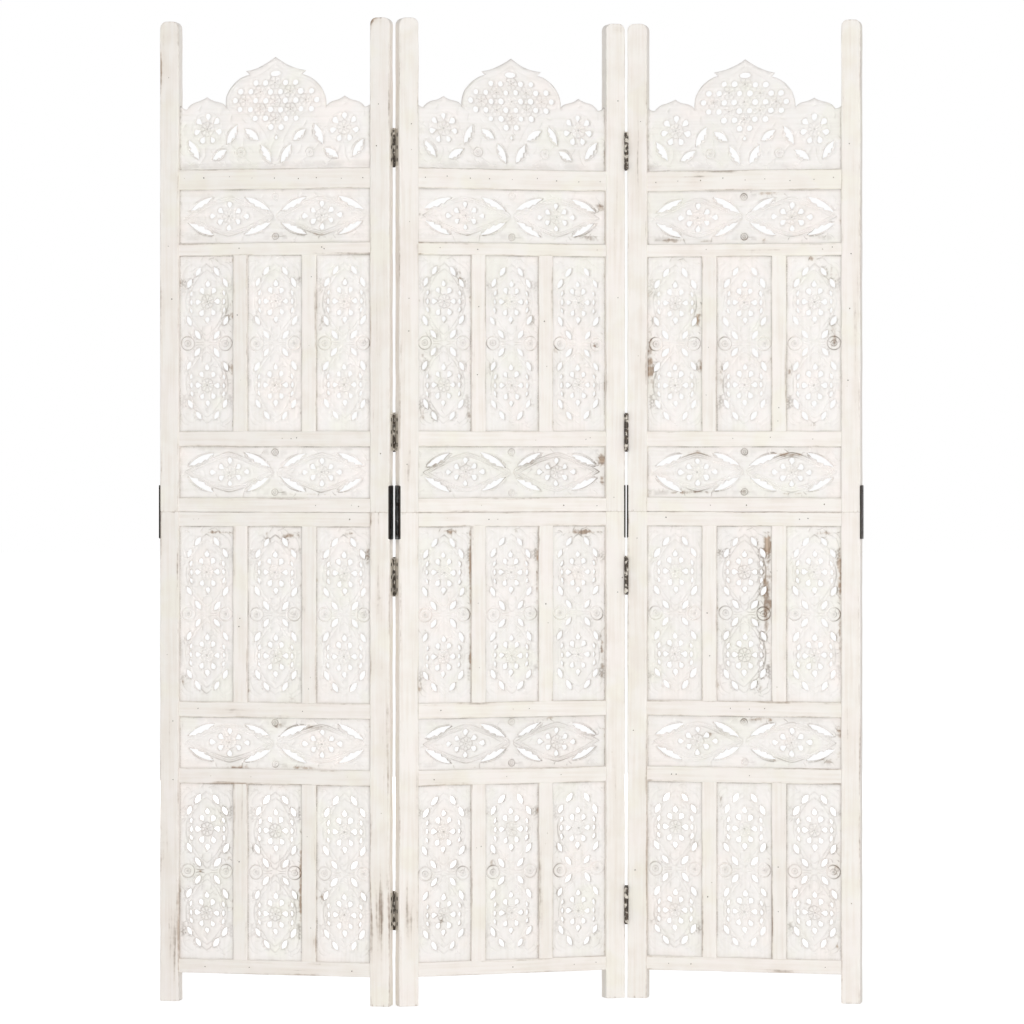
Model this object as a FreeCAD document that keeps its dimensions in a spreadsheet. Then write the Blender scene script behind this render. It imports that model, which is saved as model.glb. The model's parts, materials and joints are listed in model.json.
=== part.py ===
"""Carved folding screen: three hinged wooden panels with pierced boards, standing in a zigzag.

Each panel is framed in two sections, upper and lower, that meet at a seam and are held by iron plates.
The frame is +Z up, +X to the right seen from the front, with the origin on the floor under the middle.
"""
import FreeCAD, Part
import math
import os
import re
import Sketcher
from FreeCAD import Placement, Rotation, Vector

# Driving dimensions: millimetres, degrees, or a plain share where the name says so.
SIZES = {
    # Heights up one panel, from the floor to the tops of the stiles
    "leg_height": 48,
    "bottom_rail_height": 24,
    "tall_opening": 295,
    "frieze_rail_height": 26,
    "frieze_opening": 86,
    "seam_rail_height": 24,
    "slim_rail_height": 21,
    "top_frieze_opening": 90,
    "crest_rail_height": 34,
    "stile_horn": 250,
    # Sections of the frame members
    "panel_width": 396,
    "stile_width": 32,
    "stile_thickness": 25,
    "stile_top_radius": 11,
    "stile_edge_radius": 1.5,
    "rail_thickness": 21,
    "muntin_width": 25,
    "muntin_thickness": 19,
    # Joinery
    "board_thickness": 10,
    "groove_depth": 5,
    "groove_clearance": 0.2,
    "board_end_clearance": 0.5,
    "tenon_thickness": 9,
    "tenon_clearance": 0.1,
    "tenon_end_clearance": 0.5,
    "pilot_wall": 1.8,
    # Iron plates, hinges and screws
    "iron_thickness": 1.8,
    "leaf_gap": 0.9,
    "plate_length": 90,
    "plate_edge_margin": 2.5,
    "plate_corner_radius": 3,
    "plate_screw_first": 14,
    "plate_screw_margin": 11,
    "hinge_length": 62,
    "hinge_screw_margin": 10,
    "leaf_setback": 6,
    "knuckle_radius": 3.6,
    "knuckle_gap": 0.4,
    "pin_radius": 1.5,
    "pin_clearance": 0.05,
    "pin_head_radius": 2.6,
    "pin_head_height": 1.6,
    "screw_radius": 1.7,
    "screw_head_radius": 3.3,
    "screw_length": 16,
    "screw_tip_length": 4,
    "screw_slot_width": 0.8,
    "screw_slot_depth": 0.8,
    "screw_clearance": 0.1,
    "pilot_end_clearance": 0.5,
    # Places of the hinges, to the middle of each
    "top_hinge_drop": 216,
    "upper_hinge_rise": 134,
    "lower_hinge_drop": 108,
    "bottom_hinge_rise": 158,
    # Piercings
    "drop_length": 9,
    "drop_width": 6.5,
    "slit_length": 9,
    "slit_width": 4.5,
    "tall_leaf_length": 15,
    "tall_leaf_width": 7,
    "frieze_leaf_length": 48,
    "frieze_leaf_width": 10,
    "lattice_hole_radius": 3,
    "crest_long_leaf_length": 33,
    "crest_short_leaf_length": 25,
    "crest_leaf_width": 9,
    "crest_ring_radius": 19,
    # Outline of the crest: the valley's height above the rail, the rest stepped from it
    "crest_valley_height": 102,
    "crest_valley_step": 3,
    "crest_dome_rise": 24,
    "crest_dome_share": 0.51,
    "crest_hook_rise": 39,
    "crest_hook_share": 0.317,
    "crest_hook_overhang": 6,
    "crest_point_rise": 22,
    "crest_point_bulge": 4,
    "crest_lobe_rise": 14.5,
    "crest_lobe_bulge": 5,
    "crest_notch_drop": 3,
    "crest_notch_inset": 12,
    "crest_corner_rise": 8,
    "crest_corner_bulge": 2,
    # How far each panel is turned from the flat screen as it stands
    "left_panel_turn": 12,
    "middle_panel_turn": 18,
    "right_panel_turn": 12.5,
}

KNUCKLES = 5
PLATE_SCREWS_PER_SECTION = 2
SCREWS_PER_LEAF = 3
RING_DROPS = 7
BOARDS_ACROSS = 3
LATTICE_CELLS = 3

# Two points closer than this are the same point.
HAIR = 0.001

# Courses of each section, from its bottom: what fills the height, and the size that sets it.
LOWER_COURSES = [
    ("legs", "leg_height"),
    ("rail", "bottom_rail_height"),
    ("tall", "tall_opening"),
    ("rail", "frieze_rail_height"),
    ("frieze", "frieze_opening"),
    ("rail", "frieze_rail_height"),
    ("tall", "tall_opening"),
    ("rail", "seam_rail_height"),
]
UPPER_COURSES = [
    ("rail", "seam_rail_height"),
    ("frieze", "frieze_opening"),
    ("rail", "frieze_rail_height"),
    ("tall", "tall_opening"),
    ("rail", "slim_rail_height"),
    ("frieze", "top_frieze_opening"),
    ("rail", "crest_rail_height"),
    ("crest", "stile_horn"),
]
BOARD_COURSES = ("tall", "frieze", "crest")

# Lengths that follow from the driving dimensions, as expressions on the sheet.
OPENING = "(panel_width - 2 * stile_width)"
TALL_FIELD = f"(({OPENING} - {BOARDS_ACROSS - 1} * muntin_width) / {BOARDS_ACROSS})"
GROOVE_WIDTH = "(board_thickness + 2 * groove_clearance)"
TONGUE = "(groove_depth - board_end_clearance)"
PILOT_DEPTH = "(screw_length - iron_thickness + pilot_end_clearance)"
MORTISE_DEPTH = f"(stile_width - {PILOT_DEPTH} - pilot_wall)"
TENON_LENGTH = f"({MORTISE_DEPTH} - tenon_end_clearance)"
HINGE_GAP = "(2 * iron_thickness + leaf_gap)"
BARREL_OFFSET = "(knuckle_radius + knuckle_gap)"
CREST_NOTCH_HEIGHT = "(crest_valley_height - crest_notch_drop)"
CREST_CORNER_HEIGHT = f"({CREST_NOTCH_HEIGHT} + crest_corner_rise)"
CREST_HOOK_HEIGHT = "(crest_valley_height + crest_dome_rise + crest_hook_rise)"
CREST_HEIGHT = f"({CREST_HOOK_HEIGHT} + crest_point_rise)"
LOWER_LENGTH = "(" + " + ".join(size for _, size in LOWER_COURSES) + ")"
UPPER_LENGTH = "(" + " + ".join(size for _, size in UPPER_COURSES) + ")"

doc = FreeCAD.newDocument("folding_screen")
sheet = doc.addObject("Spreadsheet::Sheet", "Sizes")
for row, (alias, value) in enumerate(SIZES.items(), start=1):
    sheet.set(f"A{row}", alias)
    sheet.set(f"B{row}", str(value))
    sheet.setAlias(f"B{row}", alias)
doc.recompute()


def on_sheet(expression):
    """The same expression with every alias looked up on the sheet."""

    def looked_up(word):
        return f"Sizes.{word.group()}" if word.group() in SIZES else word.group()

    return re.sub(r"[a-z_]+", looked_up, expression)


def number(expression):
    """The present value of an expression on the sheet."""
    return float(sheet.evalExpression(expression))


def bind(thing, **expressions):
    """Ties properties of a document object to expressions on the sheet."""
    for name, expression in expressions.items():
        thing.setExpression(name, on_sheet(str(expression)))


def place(thing, corner):
    """Ties the base point of an object's placement to three expressions."""
    for axis, expression in zip("xyz", corner):
        thing.setExpression(f"Placement.Base.{axis}", on_sheet(expression))


def box(name, corner, size):
    """A rectangular block from its lowest corner and its three lengths."""
    block = doc.addObject("Part::Box", name)
    bind(block, Length=size[0], Width=size[1], Height=size[2])
    place(block, corner)
    return block


def cylinder(name, base, radius, height, along="Z"):
    """A round bar standing on its base point along +X or +Z."""
    bar = doc.addObject("Part::Cylinder", name)
    bar.Placement = Placement(Vector(), turned(along))
    bind(bar, Radius=radius, Height=height)
    place(bar, base)
    return bar


def cone(name, base, first_radius, last_radius, height, along="Z"):
    """A tapered bar standing on its base point along +X or +Z."""
    taper = doc.addObject("Part::Cone", name)
    taper.Placement = Placement(Vector(), turned(along))
    bind(taper, Radius1=first_radius, Radius2=last_radius, Height=height)
    place(taper, base)
    return taper


def turned(along):
    """Rotation that lays the Z axis along +X, or leaves it upright."""
    return Rotation(Vector(0, 0, 1), Vector(1, 0, 0)) if along == "X" else Rotation()


def fuse(name, shapes):
    """One solid from shapes that meet."""
    joined = doc.addObject("Part::MultiFuse", name)
    joined.Shapes = shapes
    joined.Refine = True
    return joined


def cut(name, base, tools):
    """A base with the tools taken out of it."""
    result = doc.addObject("Part::Cut", name)
    result.Base = base
    result.Tool = tools[0] if len(tools) == 1 else fuse(f"{name}_tools", tools)
    return result


def sketch_on(body, role, name):
    """An empty sketch on one of the body's own origin planes."""
    sketch = body.newObject("Sketcher::SketchObject", name)
    plane = next(feature for feature in body.Origin.OriginFeatures if feature.Role == role)
    sketch.AttachmentSupport = [(plane, "")]
    sketch.MapMode = "FlatFace"
    return sketch


def centred_rectangle(sketch, width, height):
    """A rectangle about the sketch's origin, with both sides tied to the sheet."""
    half_width = number(width) / 2
    half_height = number(height) / 2
    corners = [
        Vector(-half_width, -half_height, 0),
        Vector(half_width, -half_height, 0),
        Vector(half_width, half_height, 0),
        Vector(-half_width, half_height, 0),
    ]
    for side in range(4):
        sketch.addGeometry(Part.LineSegment(corners[side], corners[(side + 1) % 4]), False)
    for side in range(4):
        sketch.addConstraint(Sketcher.Constraint("Coincident", side, 2, (side + 1) % 4, 1))
        sketch.addConstraint(Sketcher.Constraint("Vertical" if side % 2 else "Horizontal", side))
    sketch.addConstraint(Sketcher.Constraint("Symmetric", 0, 1, 1, 2, -1, 1))
    across = sketch.addConstraint(Sketcher.Constraint("DistanceX", 0, 1, 0, 2, 2 * half_width))
    upward = sketch.addConstraint(Sketcher.Constraint("DistanceY", 1, 1, 1, 2, 2 * half_height))
    sketch.setExpression(f"Constraints[{across}]", on_sheet(width))
    sketch.setExpression(f"Constraints[{upward}]", on_sheet(height))


def symmetric_pad(body, sketch, thickness):
    """A plate of the sketch's outline, half its thickness to each side."""
    pad = body.newObject("PartDesign::Pad", f"{body.Name}_pad")
    pad.Profile = sketch
    pad.SideType = "Symmetric"
    bind(pad, Length=thickness)
    doc.recompute()
    return pad


def round_edges(body, base, wanted, radius):
    """Rounds those edges of the last feature whose middle point is wanted."""
    edges = [
        f"Edge{index}"
        for index, edge in enumerate(base.Shape.Edges, start=1)
        if wanted(edge.valueAt((edge.FirstParameter + edge.LastParameter) / 2))
    ]
    rounding = body.newObject("PartDesign::Fillet", f"{body.Name}_rounding")
    rounding.Base = (base, edges)
    bind(rounding, Radius=radius)
    doc.recompute()
    return rounding


def course_bottoms(courses):
    """Each course of a section with the expression for its bottom."""
    placed = []
    bottom = "0"
    for kind, size in courses:
        placed.append((kind, size, bottom))
        bottom = f"{bottom} + {size}"
    return placed


def has_board(courses, index):
    """True where a carved board fills this course."""
    return 0 <= index < len(courses) and courses[index][0] in BOARD_COURSES


# Frame members


def make_rail(name, height, board_above, board_below):
    """A rail from its bottom middle: tenons at both ends, grooves where boards meet it."""
    bar = box(
        f"{name}_bar",
        (f"-{OPENING} / 2", "-rail_thickness / 2", "0"),
        (OPENING, "rail_thickness", height),
    )
    tenons = box(
        f"{name}_tenons",
        (f"-{OPENING} / 2 - {TENON_LENGTH}", "-tenon_thickness / 2", "groove_depth"),
        (f"{OPENING} + 2 * {TENON_LENGTH}", "tenon_thickness", f"{height} - 2 * groove_depth"),
    )
    grooves = []
    if board_above:
        grooves.append(rail_groove(f"{name}_upper_groove", f"{height} - groove_depth"))
    if board_below:
        grooves.append(rail_groove(f"{name}_lower_groove", "0"))
    return cut(name, fuse(f"{name}_joined", [bar, tenons]), grooves)


def rail_groove(name, bottom):
    """The groove along a rail's edge that holds the edge of a board."""
    return box(
        name,
        (f"-{OPENING} / 2", f"-{GROOVE_WIDTH} / 2", bottom),
        (OPENING, GROOVE_WIDTH, "groove_depth"),
    )


def make_muntin(name):
    """An upright between two tall boards: grooved sides and stub tenons in the rails' grooves."""
    bar = box(
        f"{name}_bar",
        ("-muntin_width / 2", "-muntin_thickness / 2", "0"),
        ("muntin_width", "muntin_thickness", "tall_opening"),
    )
    stubs = box(
        f"{name}_stubs",
        ("-muntin_width / 2 + groove_depth", "-board_thickness / 2", f"-{TONGUE}"),
        ("muntin_width - 2 * groove_depth", "board_thickness", f"tall_opening + 2 * {TONGUE}"),
    )
    grooves = [
        box(
            f"{name}_{side}_groove",
            (left, f"-{GROOVE_WIDTH} / 2", "0"),
            ("groove_depth", GROOVE_WIDTH, "tall_opening"),
        )
        for side, left in (("left", "-muntin_width / 2"), ("right", "muntin_width / 2 - groove_depth"))
    ]
    return cut(name, fuse(f"{name}_joined", [bar, stubs]), grooves)


def make_stile(name, courses, length, hinge_middles, plate_at_top):
    """A stile from the middle of its bottom inner edge, with its outer edge towards +X.

    It has a mortise for every rail, a groove for the boards' edges and pilot holes for the screws.
    """
    blank = stile_blank(name, length, not plate_at_top)
    placed = course_bottoms(courses)
    tools = []
    for index, (kind, size, bottom) in enumerate(placed):
        if kind == "rail":
            tools.append(stile_mortise(f"{name}_mortise_{index}", size, bottom))
    first_board = next(bottom for kind, _, bottom in placed if kind in BOARD_COURSES)
    tools.append(stile_groove(f"{name}_groove", first_board, board_top(placed)))
    seam = length if plate_at_top else "0"
    screw_heights = plate_screw_heights(seam, -1 if plate_at_top else 1)
    for middle in hinge_middles:
        screw_heights += hinge_screw_heights(middle)
    for index, height in enumerate(screw_heights):
        tools.append(pilot_hole(f"{name}_pilot_{index}", height))
    return cut(name, blank, tools)


def stile_blank(name, length, rounded_top):
    """The bare post: long edges eased, and the upper section's top corners rounded."""
    body = doc.addObject("PartDesign::Body", f"{name}_blank")
    outline = sketch_on(body, "XZ_Plane", f"{name}_outline")
    centred_rectangle(outline, "stile_width", length)
    shape = symmetric_pad(body, outline, "stile_thickness")
    half_length = number(length) / 2
    half_width = number("stile_width") / 2
    half_thickness = number("stile_thickness") / 2

    def top_corner(middle):
        return middle.z > half_length - HAIR and abs(abs(middle.x) - half_width) < HAIR

    def long_edge(middle):
        on_face = abs(abs(middle.y) - half_thickness) < HAIR
        square_end = middle.z < -half_length + HAIR or (not rounded_top and middle.z > half_length - HAIR)
        return on_face and not square_end

    if rounded_top:
        top_radius = "min(stile_top_radius; stile_width / 2 - stile_edge_radius)"
        shape = round_edges(body, shape, top_corner, top_radius)
    round_edges(body, shape, long_edge, "stile_edge_radius")
    place(body, ("stile_width / 2", "0", f"{length} / 2"))
    return body


def stile_mortise(name, rail_height, rail_bottom):
    """The blind hole for one rail's tenon."""
    return box(
        name,
        ("0", "-tenon_thickness / 2 - tenon_clearance", f"{rail_bottom} + groove_depth - tenon_clearance"),
        (
            MORTISE_DEPTH,
            "tenon_thickness + 2 * tenon_clearance",
            f"{rail_height} - 2 * groove_depth + 2 * tenon_clearance",
        ),
    )


def stile_groove(name, bottom, top):
    """The groove down the stile's inner edge that holds the boards' edges."""
    return box(
        name,
        ("0", f"-{GROOVE_WIDTH} / 2", f"{bottom} - groove_depth"),
        ("groove_depth", GROOVE_WIDTH, f"{top} - ({bottom}) + 2 * groove_depth"),
    )


def board_top(placed):
    """Where the topmost board of a section ends at the stile."""
    kind, size, bottom = [course for course in placed if course[0] in BOARD_COURSES][-1]
    reach = f"{CREST_CORNER_HEIGHT} + board_end_clearance - groove_depth" if kind == "crest" else size
    return f"{bottom} + {reach}"


def plate_screw_heights(seam, direction):
    """Screw heights of half a joining plate, above or below the seam."""
    spread = "(plate_length / 2 - plate_screw_margin - plate_screw_first)"
    return [
        f"{seam} + {direction} * (plate_screw_first + {step} * {spread} / {PLATE_SCREWS_PER_SECTION - 1})"
        for step in range(PLATE_SCREWS_PER_SECTION)
    ]


def hinge_screw_heights(middle):
    """Screw heights of one hinge leaf about its middle."""
    spread = "(hinge_length - 2 * hinge_screw_margin)"
    return [
        f"{middle} + {step / (SCREWS_PER_LEAF - 1) - 0.5} * {spread}"
        for step in range(SCREWS_PER_LEAF)
    ]


def pilot_hole(name, height):
    """The hole in the stile's outer edge that one screw bites into."""
    return cylinder(
        name,
        (f"stile_width - {PILOT_DEPTH}", "0", height),
        "screw_radius + screw_clearance",
        PILOT_DEPTH,
        along="X",
    )


# Carved boards

# Height of a tall board's medallions above and below its middle, as a share of half its opening.
TALL_MEDALLION_SHARE = 0.475


def arc_lens(sketch, middle, length, width, angle):
    """A pointed leaf between two arcs."""
    along = Vector(math.cos(angle), math.sin(angle), 0)
    aside = Vector(-along.y, along.x, 0)
    first = middle - along * (length / 2)
    last = middle + along * (length / 2)
    sketch.addGeometry(Part.Arc(first, middle + aside * (width / 2), last), False)
    sketch.addGeometry(Part.Arc(last, middle - aside * (width / 2), first), False)


def arc_drop(sketch, middle, length, width, angle):
    """A drop: a round end, and straight sides to a point at the given angle."""
    along = Vector(math.cos(angle), math.sin(angle), 0)
    radius = width / 2
    heel = middle - along * (length / 2 - radius)
    tip = middle + along * (length / 2)
    lean = math.acos(radius / (length - radius))
    left = heel + turned_by(along, lean) * radius
    right = heel + turned_by(along, -lean) * radius
    sketch.addGeometry(Part.LineSegment(tip, left), False)
    sketch.addGeometry(Part.Arc(left, heel - along * radius, right), False)
    sketch.addGeometry(Part.LineSegment(right, tip), False)


def turned_by(direction, angle):
    """A direction in the sketch turned by an angle in radians."""
    return Rotation(Vector(0, 0, 1), math.degrees(angle)).multVec(direction)


def mirrored_angle(degrees, across, upward):
    """The angle of a leaf in radians after mirroring it across and upward."""
    angle = math.radians(degrees)
    return math.atan2(upward * math.sin(angle), across * math.cos(angle))


def pierce(body, sketch):
    """Cuts the sketch's holes right through the board."""
    solid_volume = body.Shape.Volume
    holes = body.newObject("PartDesign::Pocket", f"{body.Name}_holes")
    holes.Profile = sketch
    holes.Type = "ThroughAll"
    holes.SideType = "Symmetric"
    doc.recompute()
    if body.Shape.Volume >= solid_volume:
        raise RuntimeError(f"{body.Name} was not pierced")


def make_tall_board(name):
    """A tall board about its middle: two oval medallions, and crossed leaves between them."""
    body = doc.addObject("PartDesign::Body", name)
    outline = sketch_on(body, "XZ_Plane", f"{name}_outline")
    centred_rectangle(outline, f"{TALL_FIELD} + 2 * {TONGUE}", f"tall_opening + 2 * {TONGUE}")
    symmetric_pad(body, outline, "board_thickness")
    holes = sketch_on(body, "XZ_Plane", f"{name}_pattern")
    half_width = number(TALL_FIELD) / 2
    half_height = number("tall_opening") / 2
    for across in (-1, 1):
        for upward in (-1, 1):
            tall_quarter(holes, half_width * across, half_height * upward, across, upward)
    for upward in (-1, 1):
        tall_axis(holes, half_height * upward)
    pierce(body, holes)
    return body


def tall_quarter(holes, half_width, half_height, across, upward):
    """The holes of one quarter of a tall board, in shares of its half width and half height."""
    medallion = TALL_MEDALLION_SHARE
    leaf = (number("tall_leaf_length"), number("tall_leaf_width"))
    slit = (number("slit_length"), number("slit_width"))
    drop = (number("drop_length"), number("drop_width"))
    leaves = [
        (0.36, 0.10, 52),
        (0.34, medallion + 0.346, -55),
        (0.66, medallion + 0.215, -62),
        (0.68, medallion - 0.217, 62),
    ]
    for share_across, share_up, degrees in leaves:
        middle = Vector(share_across * half_width, share_up * half_height, 0)
        arc_lens(holes, middle, *leaf, mirrored_angle(degrees, across, upward))
    for share_up, degrees in ((0.098, -72), (0, 90), (-0.098, 72)):
        middle = Vector(0.6 * half_width, (medallion + share_up) * half_height, 0)
        arc_lens(holes, middle, *slit, mirrored_angle(degrees, across, upward))
    for share_across, share_up in ((0.2, 0.118), (0.34, 0), (0.2, -0.118)):
        middle = Vector(share_across * half_width, (medallion + share_up) * half_height, 0)
        inward = Vector(0, medallion * half_height, 0) - middle
        arc_drop(holes, middle, *drop, math.atan2(inward.y, inward.x))


def tall_axis(holes, half_height):
    """The drops above and below one medallion, on the board's centre line."""
    for share_up in (0.21, -0.21):
        middle = Vector(0, (TALL_MEDALLION_SHARE + share_up) * half_height, 0)
        angle = math.copysign(math.pi / 2, share_up * half_height)
        arc_drop(holes, middle, number("drop_length"), number("drop_width"), angle)


def make_frieze_board(name, opening):
    """A wide low board about its middle: two eye-shaped motifs side by side."""
    body = doc.addObject("PartDesign::Body", name)
    outline = sketch_on(body, "XZ_Plane", f"{name}_outline")
    centred_rectangle(outline, f"{OPENING} + 2 * {TONGUE}", f"{opening} + 2 * {TONGUE}")
    symmetric_pad(body, outline, "board_thickness")
    holes = sketch_on(body, "XZ_Plane", f"{name}_pattern")
    half_width = number(OPENING) / 2
    half_height = number(opening) / 2
    motif = 0.484
    for side in (-1, 1):
        flower = Vector(side * motif * half_width, 0, 0)
        frieze_motif(holes, flower, half_width, half_height)
    pierce(body, holes)
    return body


def frieze_motif(holes, flower, half_width, half_height):
    """Eight drops round a flower and four long leaves outside them."""
    drop = (number("drop_length"), number("drop_width"))
    leaf = (number("frieze_leaf_length"), number("frieze_leaf_width"))
    leaf_tilt = -26
    for across in (-1, 1):
        end_drop = Vector(0.174 * half_width * across, 0, 0)
        arc_drop(holes, flower + end_drop, *drop, mirrored_angle(180, across, 1))
        top_drop = Vector(0, 0.42 * half_height * across, 0)
        arc_drop(holes, flower + top_drop, *drop, -across * math.pi / 2)
        for upward in (-1, 1):
            slanted = Vector(0.087 * half_width * across, 0.2 * half_height * upward, 0)
            arc_drop(holes, flower + slanted, *drop, math.atan2(-slanted.y, -slanted.x))
            middle = Vector(0.295 * half_width * across, 0.477 * half_height * upward, 0)
            arc_lens(holes, flower + middle, *leaf, mirrored_angle(leaf_tilt, across, upward))


def make_crest_board(name):
    """The crest board from the middle of its rail's top: ogee dome, side lobes and corners."""
    body = doc.addObject("PartDesign::Body", name)
    outline = sketch_on(body, "XZ_Plane", f"{name}_outline")
    crest_outline(outline)
    symmetric_pad(body, outline, "board_thickness")
    holes = sketch_on(body, "XZ_Plane", f"{name}_pattern")
    half_width = number(OPENING) / 2
    height = number(CREST_HEIGHT)
    crest_lattice(holes, half_width, height)
    for across in (-1, 1):
        crest_leaves(holes, half_width * across, height, across)
        crest_ring(holes, Vector(0.739 * half_width * across, 0.364 * height, 0))
    pierce(body, holes)
    return body


def crest_outline(outline):
    """Straight edges in the grooves, then arcs over corner, lobe, dome and ogee point."""
    half = f"{OPENING} / 2"
    dome_reach = f"crest_dome_share * {half}"
    valley_reach = f"{dome_reach} + crest_valley_step"
    notch_reach = f"{half} - crest_notch_inset"
    hook_reach = f"crest_hook_share * {half}"
    hook_height = CREST_HOOK_HEIGHT
    lobe_bulge = number("crest_lobe_bulge")
    edge = f"{half} + {TONGUE}"
    foot = outline_point(edge, f"-{TONGUE}", 1)
    outline.addGeometry(Part.LineSegment(Vector(-foot.x, foot.y, 0), foot), False)
    for across in (-1, 1):
        low = outline_point(edge, f"-{TONGUE}", across)
        high = outline_point(edge, CREST_CORNER_HEIGHT, across)
        inner = outline_point(half, CREST_CORNER_HEIGHT, across)
        notch = outline_point(notch_reach, CREST_NOTCH_HEIGHT, across)
        lobe_height = "crest_valley_height + crest_lobe_rise"
        lobe = outline_point(f"({notch_reach} + {valley_reach}) / 2", lobe_height, across)
        valley = outline_point(valley_reach, "crest_valley_height", across)
        dome = outline_point(dome_reach, "crest_valley_height + crest_dome_rise", across)
        tuck = f"{hook_reach} - crest_hook_overhang"
        shoulder = outline_point(tuck, f"{hook_height} - crest_hook_overhang", across)
        hook = outline_point(hook_reach, hook_height, across)
        apex = outline_point("0", CREST_HEIGHT, across)
        outline.addGeometry(Part.LineSegment(low, high), False)
        outline.addGeometry(Part.LineSegment(high, inner), False)
        outline.addGeometry(bulged(inner, notch, across * number("crest_corner_bulge")), False)
        outline.addGeometry(bulged(notch, lobe, -across * lobe_bulge), False)
        outline.addGeometry(bulged(lobe, valley, -across * lobe_bulge), False)
        outline.addGeometry(Part.Arc(valley, dome, shoulder), False)
        outline.addGeometry(Part.LineSegment(shoulder, hook), False)
        outline.addGeometry(bulged(hook, apex, across * number("crest_point_bulge")), False)


def outline_point(reach, height, across):
    """A point of the crest's outline on one side, from its reach and its height above the rail."""
    return Vector(across * number(reach), number(height), 0)


def bulged(first, last, bulge):
    """An arc between two points whose middle stands off the straight line."""
    along = (last - first).normalize()
    aside = Vector(-along.y, along.x, 0)
    return Part.Arc(first, (first + last) * 0.5 + aside * bulge, last)


def crest_lattice(holes, half_width, height):
    """Round holes at the corners of a honeycomb whose nine cells each hold a rosette."""
    top = 0.775 * height
    column = 0.055 * half_width
    row = 0.0797 * height
    sites = set()
    for first in range(LATTICE_CELLS):
        for second in range(LATTICE_CELLS):
            across = 3 * (first - second)
            down = first + second
            sites.update(((across - 2, down), (across + 2, down)))
            sites.update((across + side, down + step) for side in (-1, 1) for step in (-1, 1))
    for across, down in sorted(sites):
        middle = Vector(across * column, top - down * row, 0)
        holes.addGeometry(Part.Circle(middle, Vector(0, 0, 1), number("lattice_hole_radius")), False)


def crest_leaves(holes, half_width, height, across):
    """The leaf-shaped holes of one half of the crest, in shares of its half width and height."""
    leaves = [
        ("long", 0.106, 0.14, 62),
        ("short", 0.252, 0.31, 36),
        ("long", 0.462, 0.31, -64),
        ("short", 0.602, 0.135, -34),
        ("long", 0.885, 0.18, 56),
    ]
    for kind, share_across, share_up, degrees in leaves:
        middle = Vector(share_across * half_width, share_up * height, 0)
        angle = mirrored_angle(degrees, across, 1)
        arc_lens(holes, middle, number(f"crest_{kind}_leaf_length"), number("crest_leaf_width"), angle)


def crest_ring(holes, flower):
    """A ring of drops that point at the flower in one side lobe."""
    for step in range(RING_DROPS):
        angle = math.pi / 2 + step * 2 * math.pi / RING_DROPS
        outward = Vector(math.cos(angle), math.sin(angle), 0)
        middle = flower + outward * number("crest_ring_radius")
        arc_drop(holes, middle, number("drop_length"), number("drop_width"), angle + math.pi)


# Iron plates, hinges and screws


def screw_hole(name, face, y_place, height):
    """A countersunk hole through a plate, from its open face towards +X."""
    return cone(
        name,
        (face, y_place, height),
        "screw_head_radius + screw_clearance",
        "screw_radius + screw_clearance",
        "iron_thickness",
        along="X",
    )


def make_plate(name):
    """A flat joining plate about its middle, with its open face at X = 0 and the wood towards +X."""
    body = doc.addObject("PartDesign::Body", f"{name}_blank")
    outline = sketch_on(body, "YZ_Plane", f"{name}_outline")
    centred_rectangle(outline, "stile_thickness - 2 * plate_edge_margin", "plate_length")
    pad = symmetric_pad(body, outline, "iron_thickness")
    half_length = number("plate_length") / 2

    def corner(middle):
        return abs(middle.x) < HAIR and abs(abs(middle.z) - half_length) < HAIR

    round_edges(body, pad, corner, "plate_corner_radius")
    place(body, ("iron_thickness / 2", "0", "0"))
    heights = plate_screw_heights("0", -1) + plate_screw_heights("0", 1)
    holes = [screw_hole(f"{name}_hole_{index}", "0", "0", height) for index, height in enumerate(heights)]
    return cut(name, body, holes)


def make_leaf(name, side, first_knuckle):
    """One leaf of a butt hinge about its pin's axis, with the barrel's middle at the origin.

    The leaf lies on the stile edge at its side, -1 or +1, and reaches from the barrel towards -Y.
    It carries every second knuckle, counted from the first knuckle given.
    """
    open_face = f"({side} * leaf_gap / 2)"
    plate_left = "-leaf_gap / 2 - iron_thickness" if side < 0 else "leaf_gap / 2"
    far_edge = f"({BARREL_OFFSET} + stile_thickness - leaf_setback)"
    clear_edge = "(knuckle_radius + knuckle_gap)"
    plate = box(
        f"{name}_plate",
        (plate_left, f"-{far_edge}", "-hinge_length / 2"),
        ("iron_thickness", f"{far_edge} - {clear_edge}", "hinge_length"),
    )
    length = f"((hinge_length - {KNUCKLES - 1} * knuckle_gap) / {KNUCKLES})"
    root = "((pin_radius + knuckle_radius) / 2)"
    pieces = [plate]
    for index in range(first_knuckle, KNUCKLES, 2):
        bottom = f"-hinge_length / 2 + {index} * ({length} + knuckle_gap)"
        pieces.append(cylinder(f"{name}_knuckle_{index}", ("0", "0", bottom), "knuckle_radius", length))
        pieces.append(
            box(
                f"{name}_strap_{index}",
                (plate_left, f"-{clear_edge}", bottom),
                ("iron_thickness", f"{clear_edge} - {root}", length),
            )
        )
    bore = cylinder(
        f"{name}_bore",
        ("0", "0", "-hinge_length / 2"),
        "pin_radius + pin_clearance",
        "hinge_length",
    )
    tools = [bore]
    screw_line = f"-{BARREL_OFFSET} - stile_thickness / 2"
    for index, height in enumerate(hinge_screw_heights("0")):
        hole = screw_hole(f"{name}_hole_{index}", open_face, screw_line, height)
        if side < 0:
            face_left(hole)
        tools.append(hole)
    return cut(name, fuse(f"{name}_joined", pieces), tools)


def face_left(hole):
    """Turns a countersunk hole so that it runs towards -X."""
    base = hole.Placement.Base
    hole.Placement = Placement(base, Rotation(Vector(0, 0, 1), Vector(-1, 0, 0)))


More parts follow.
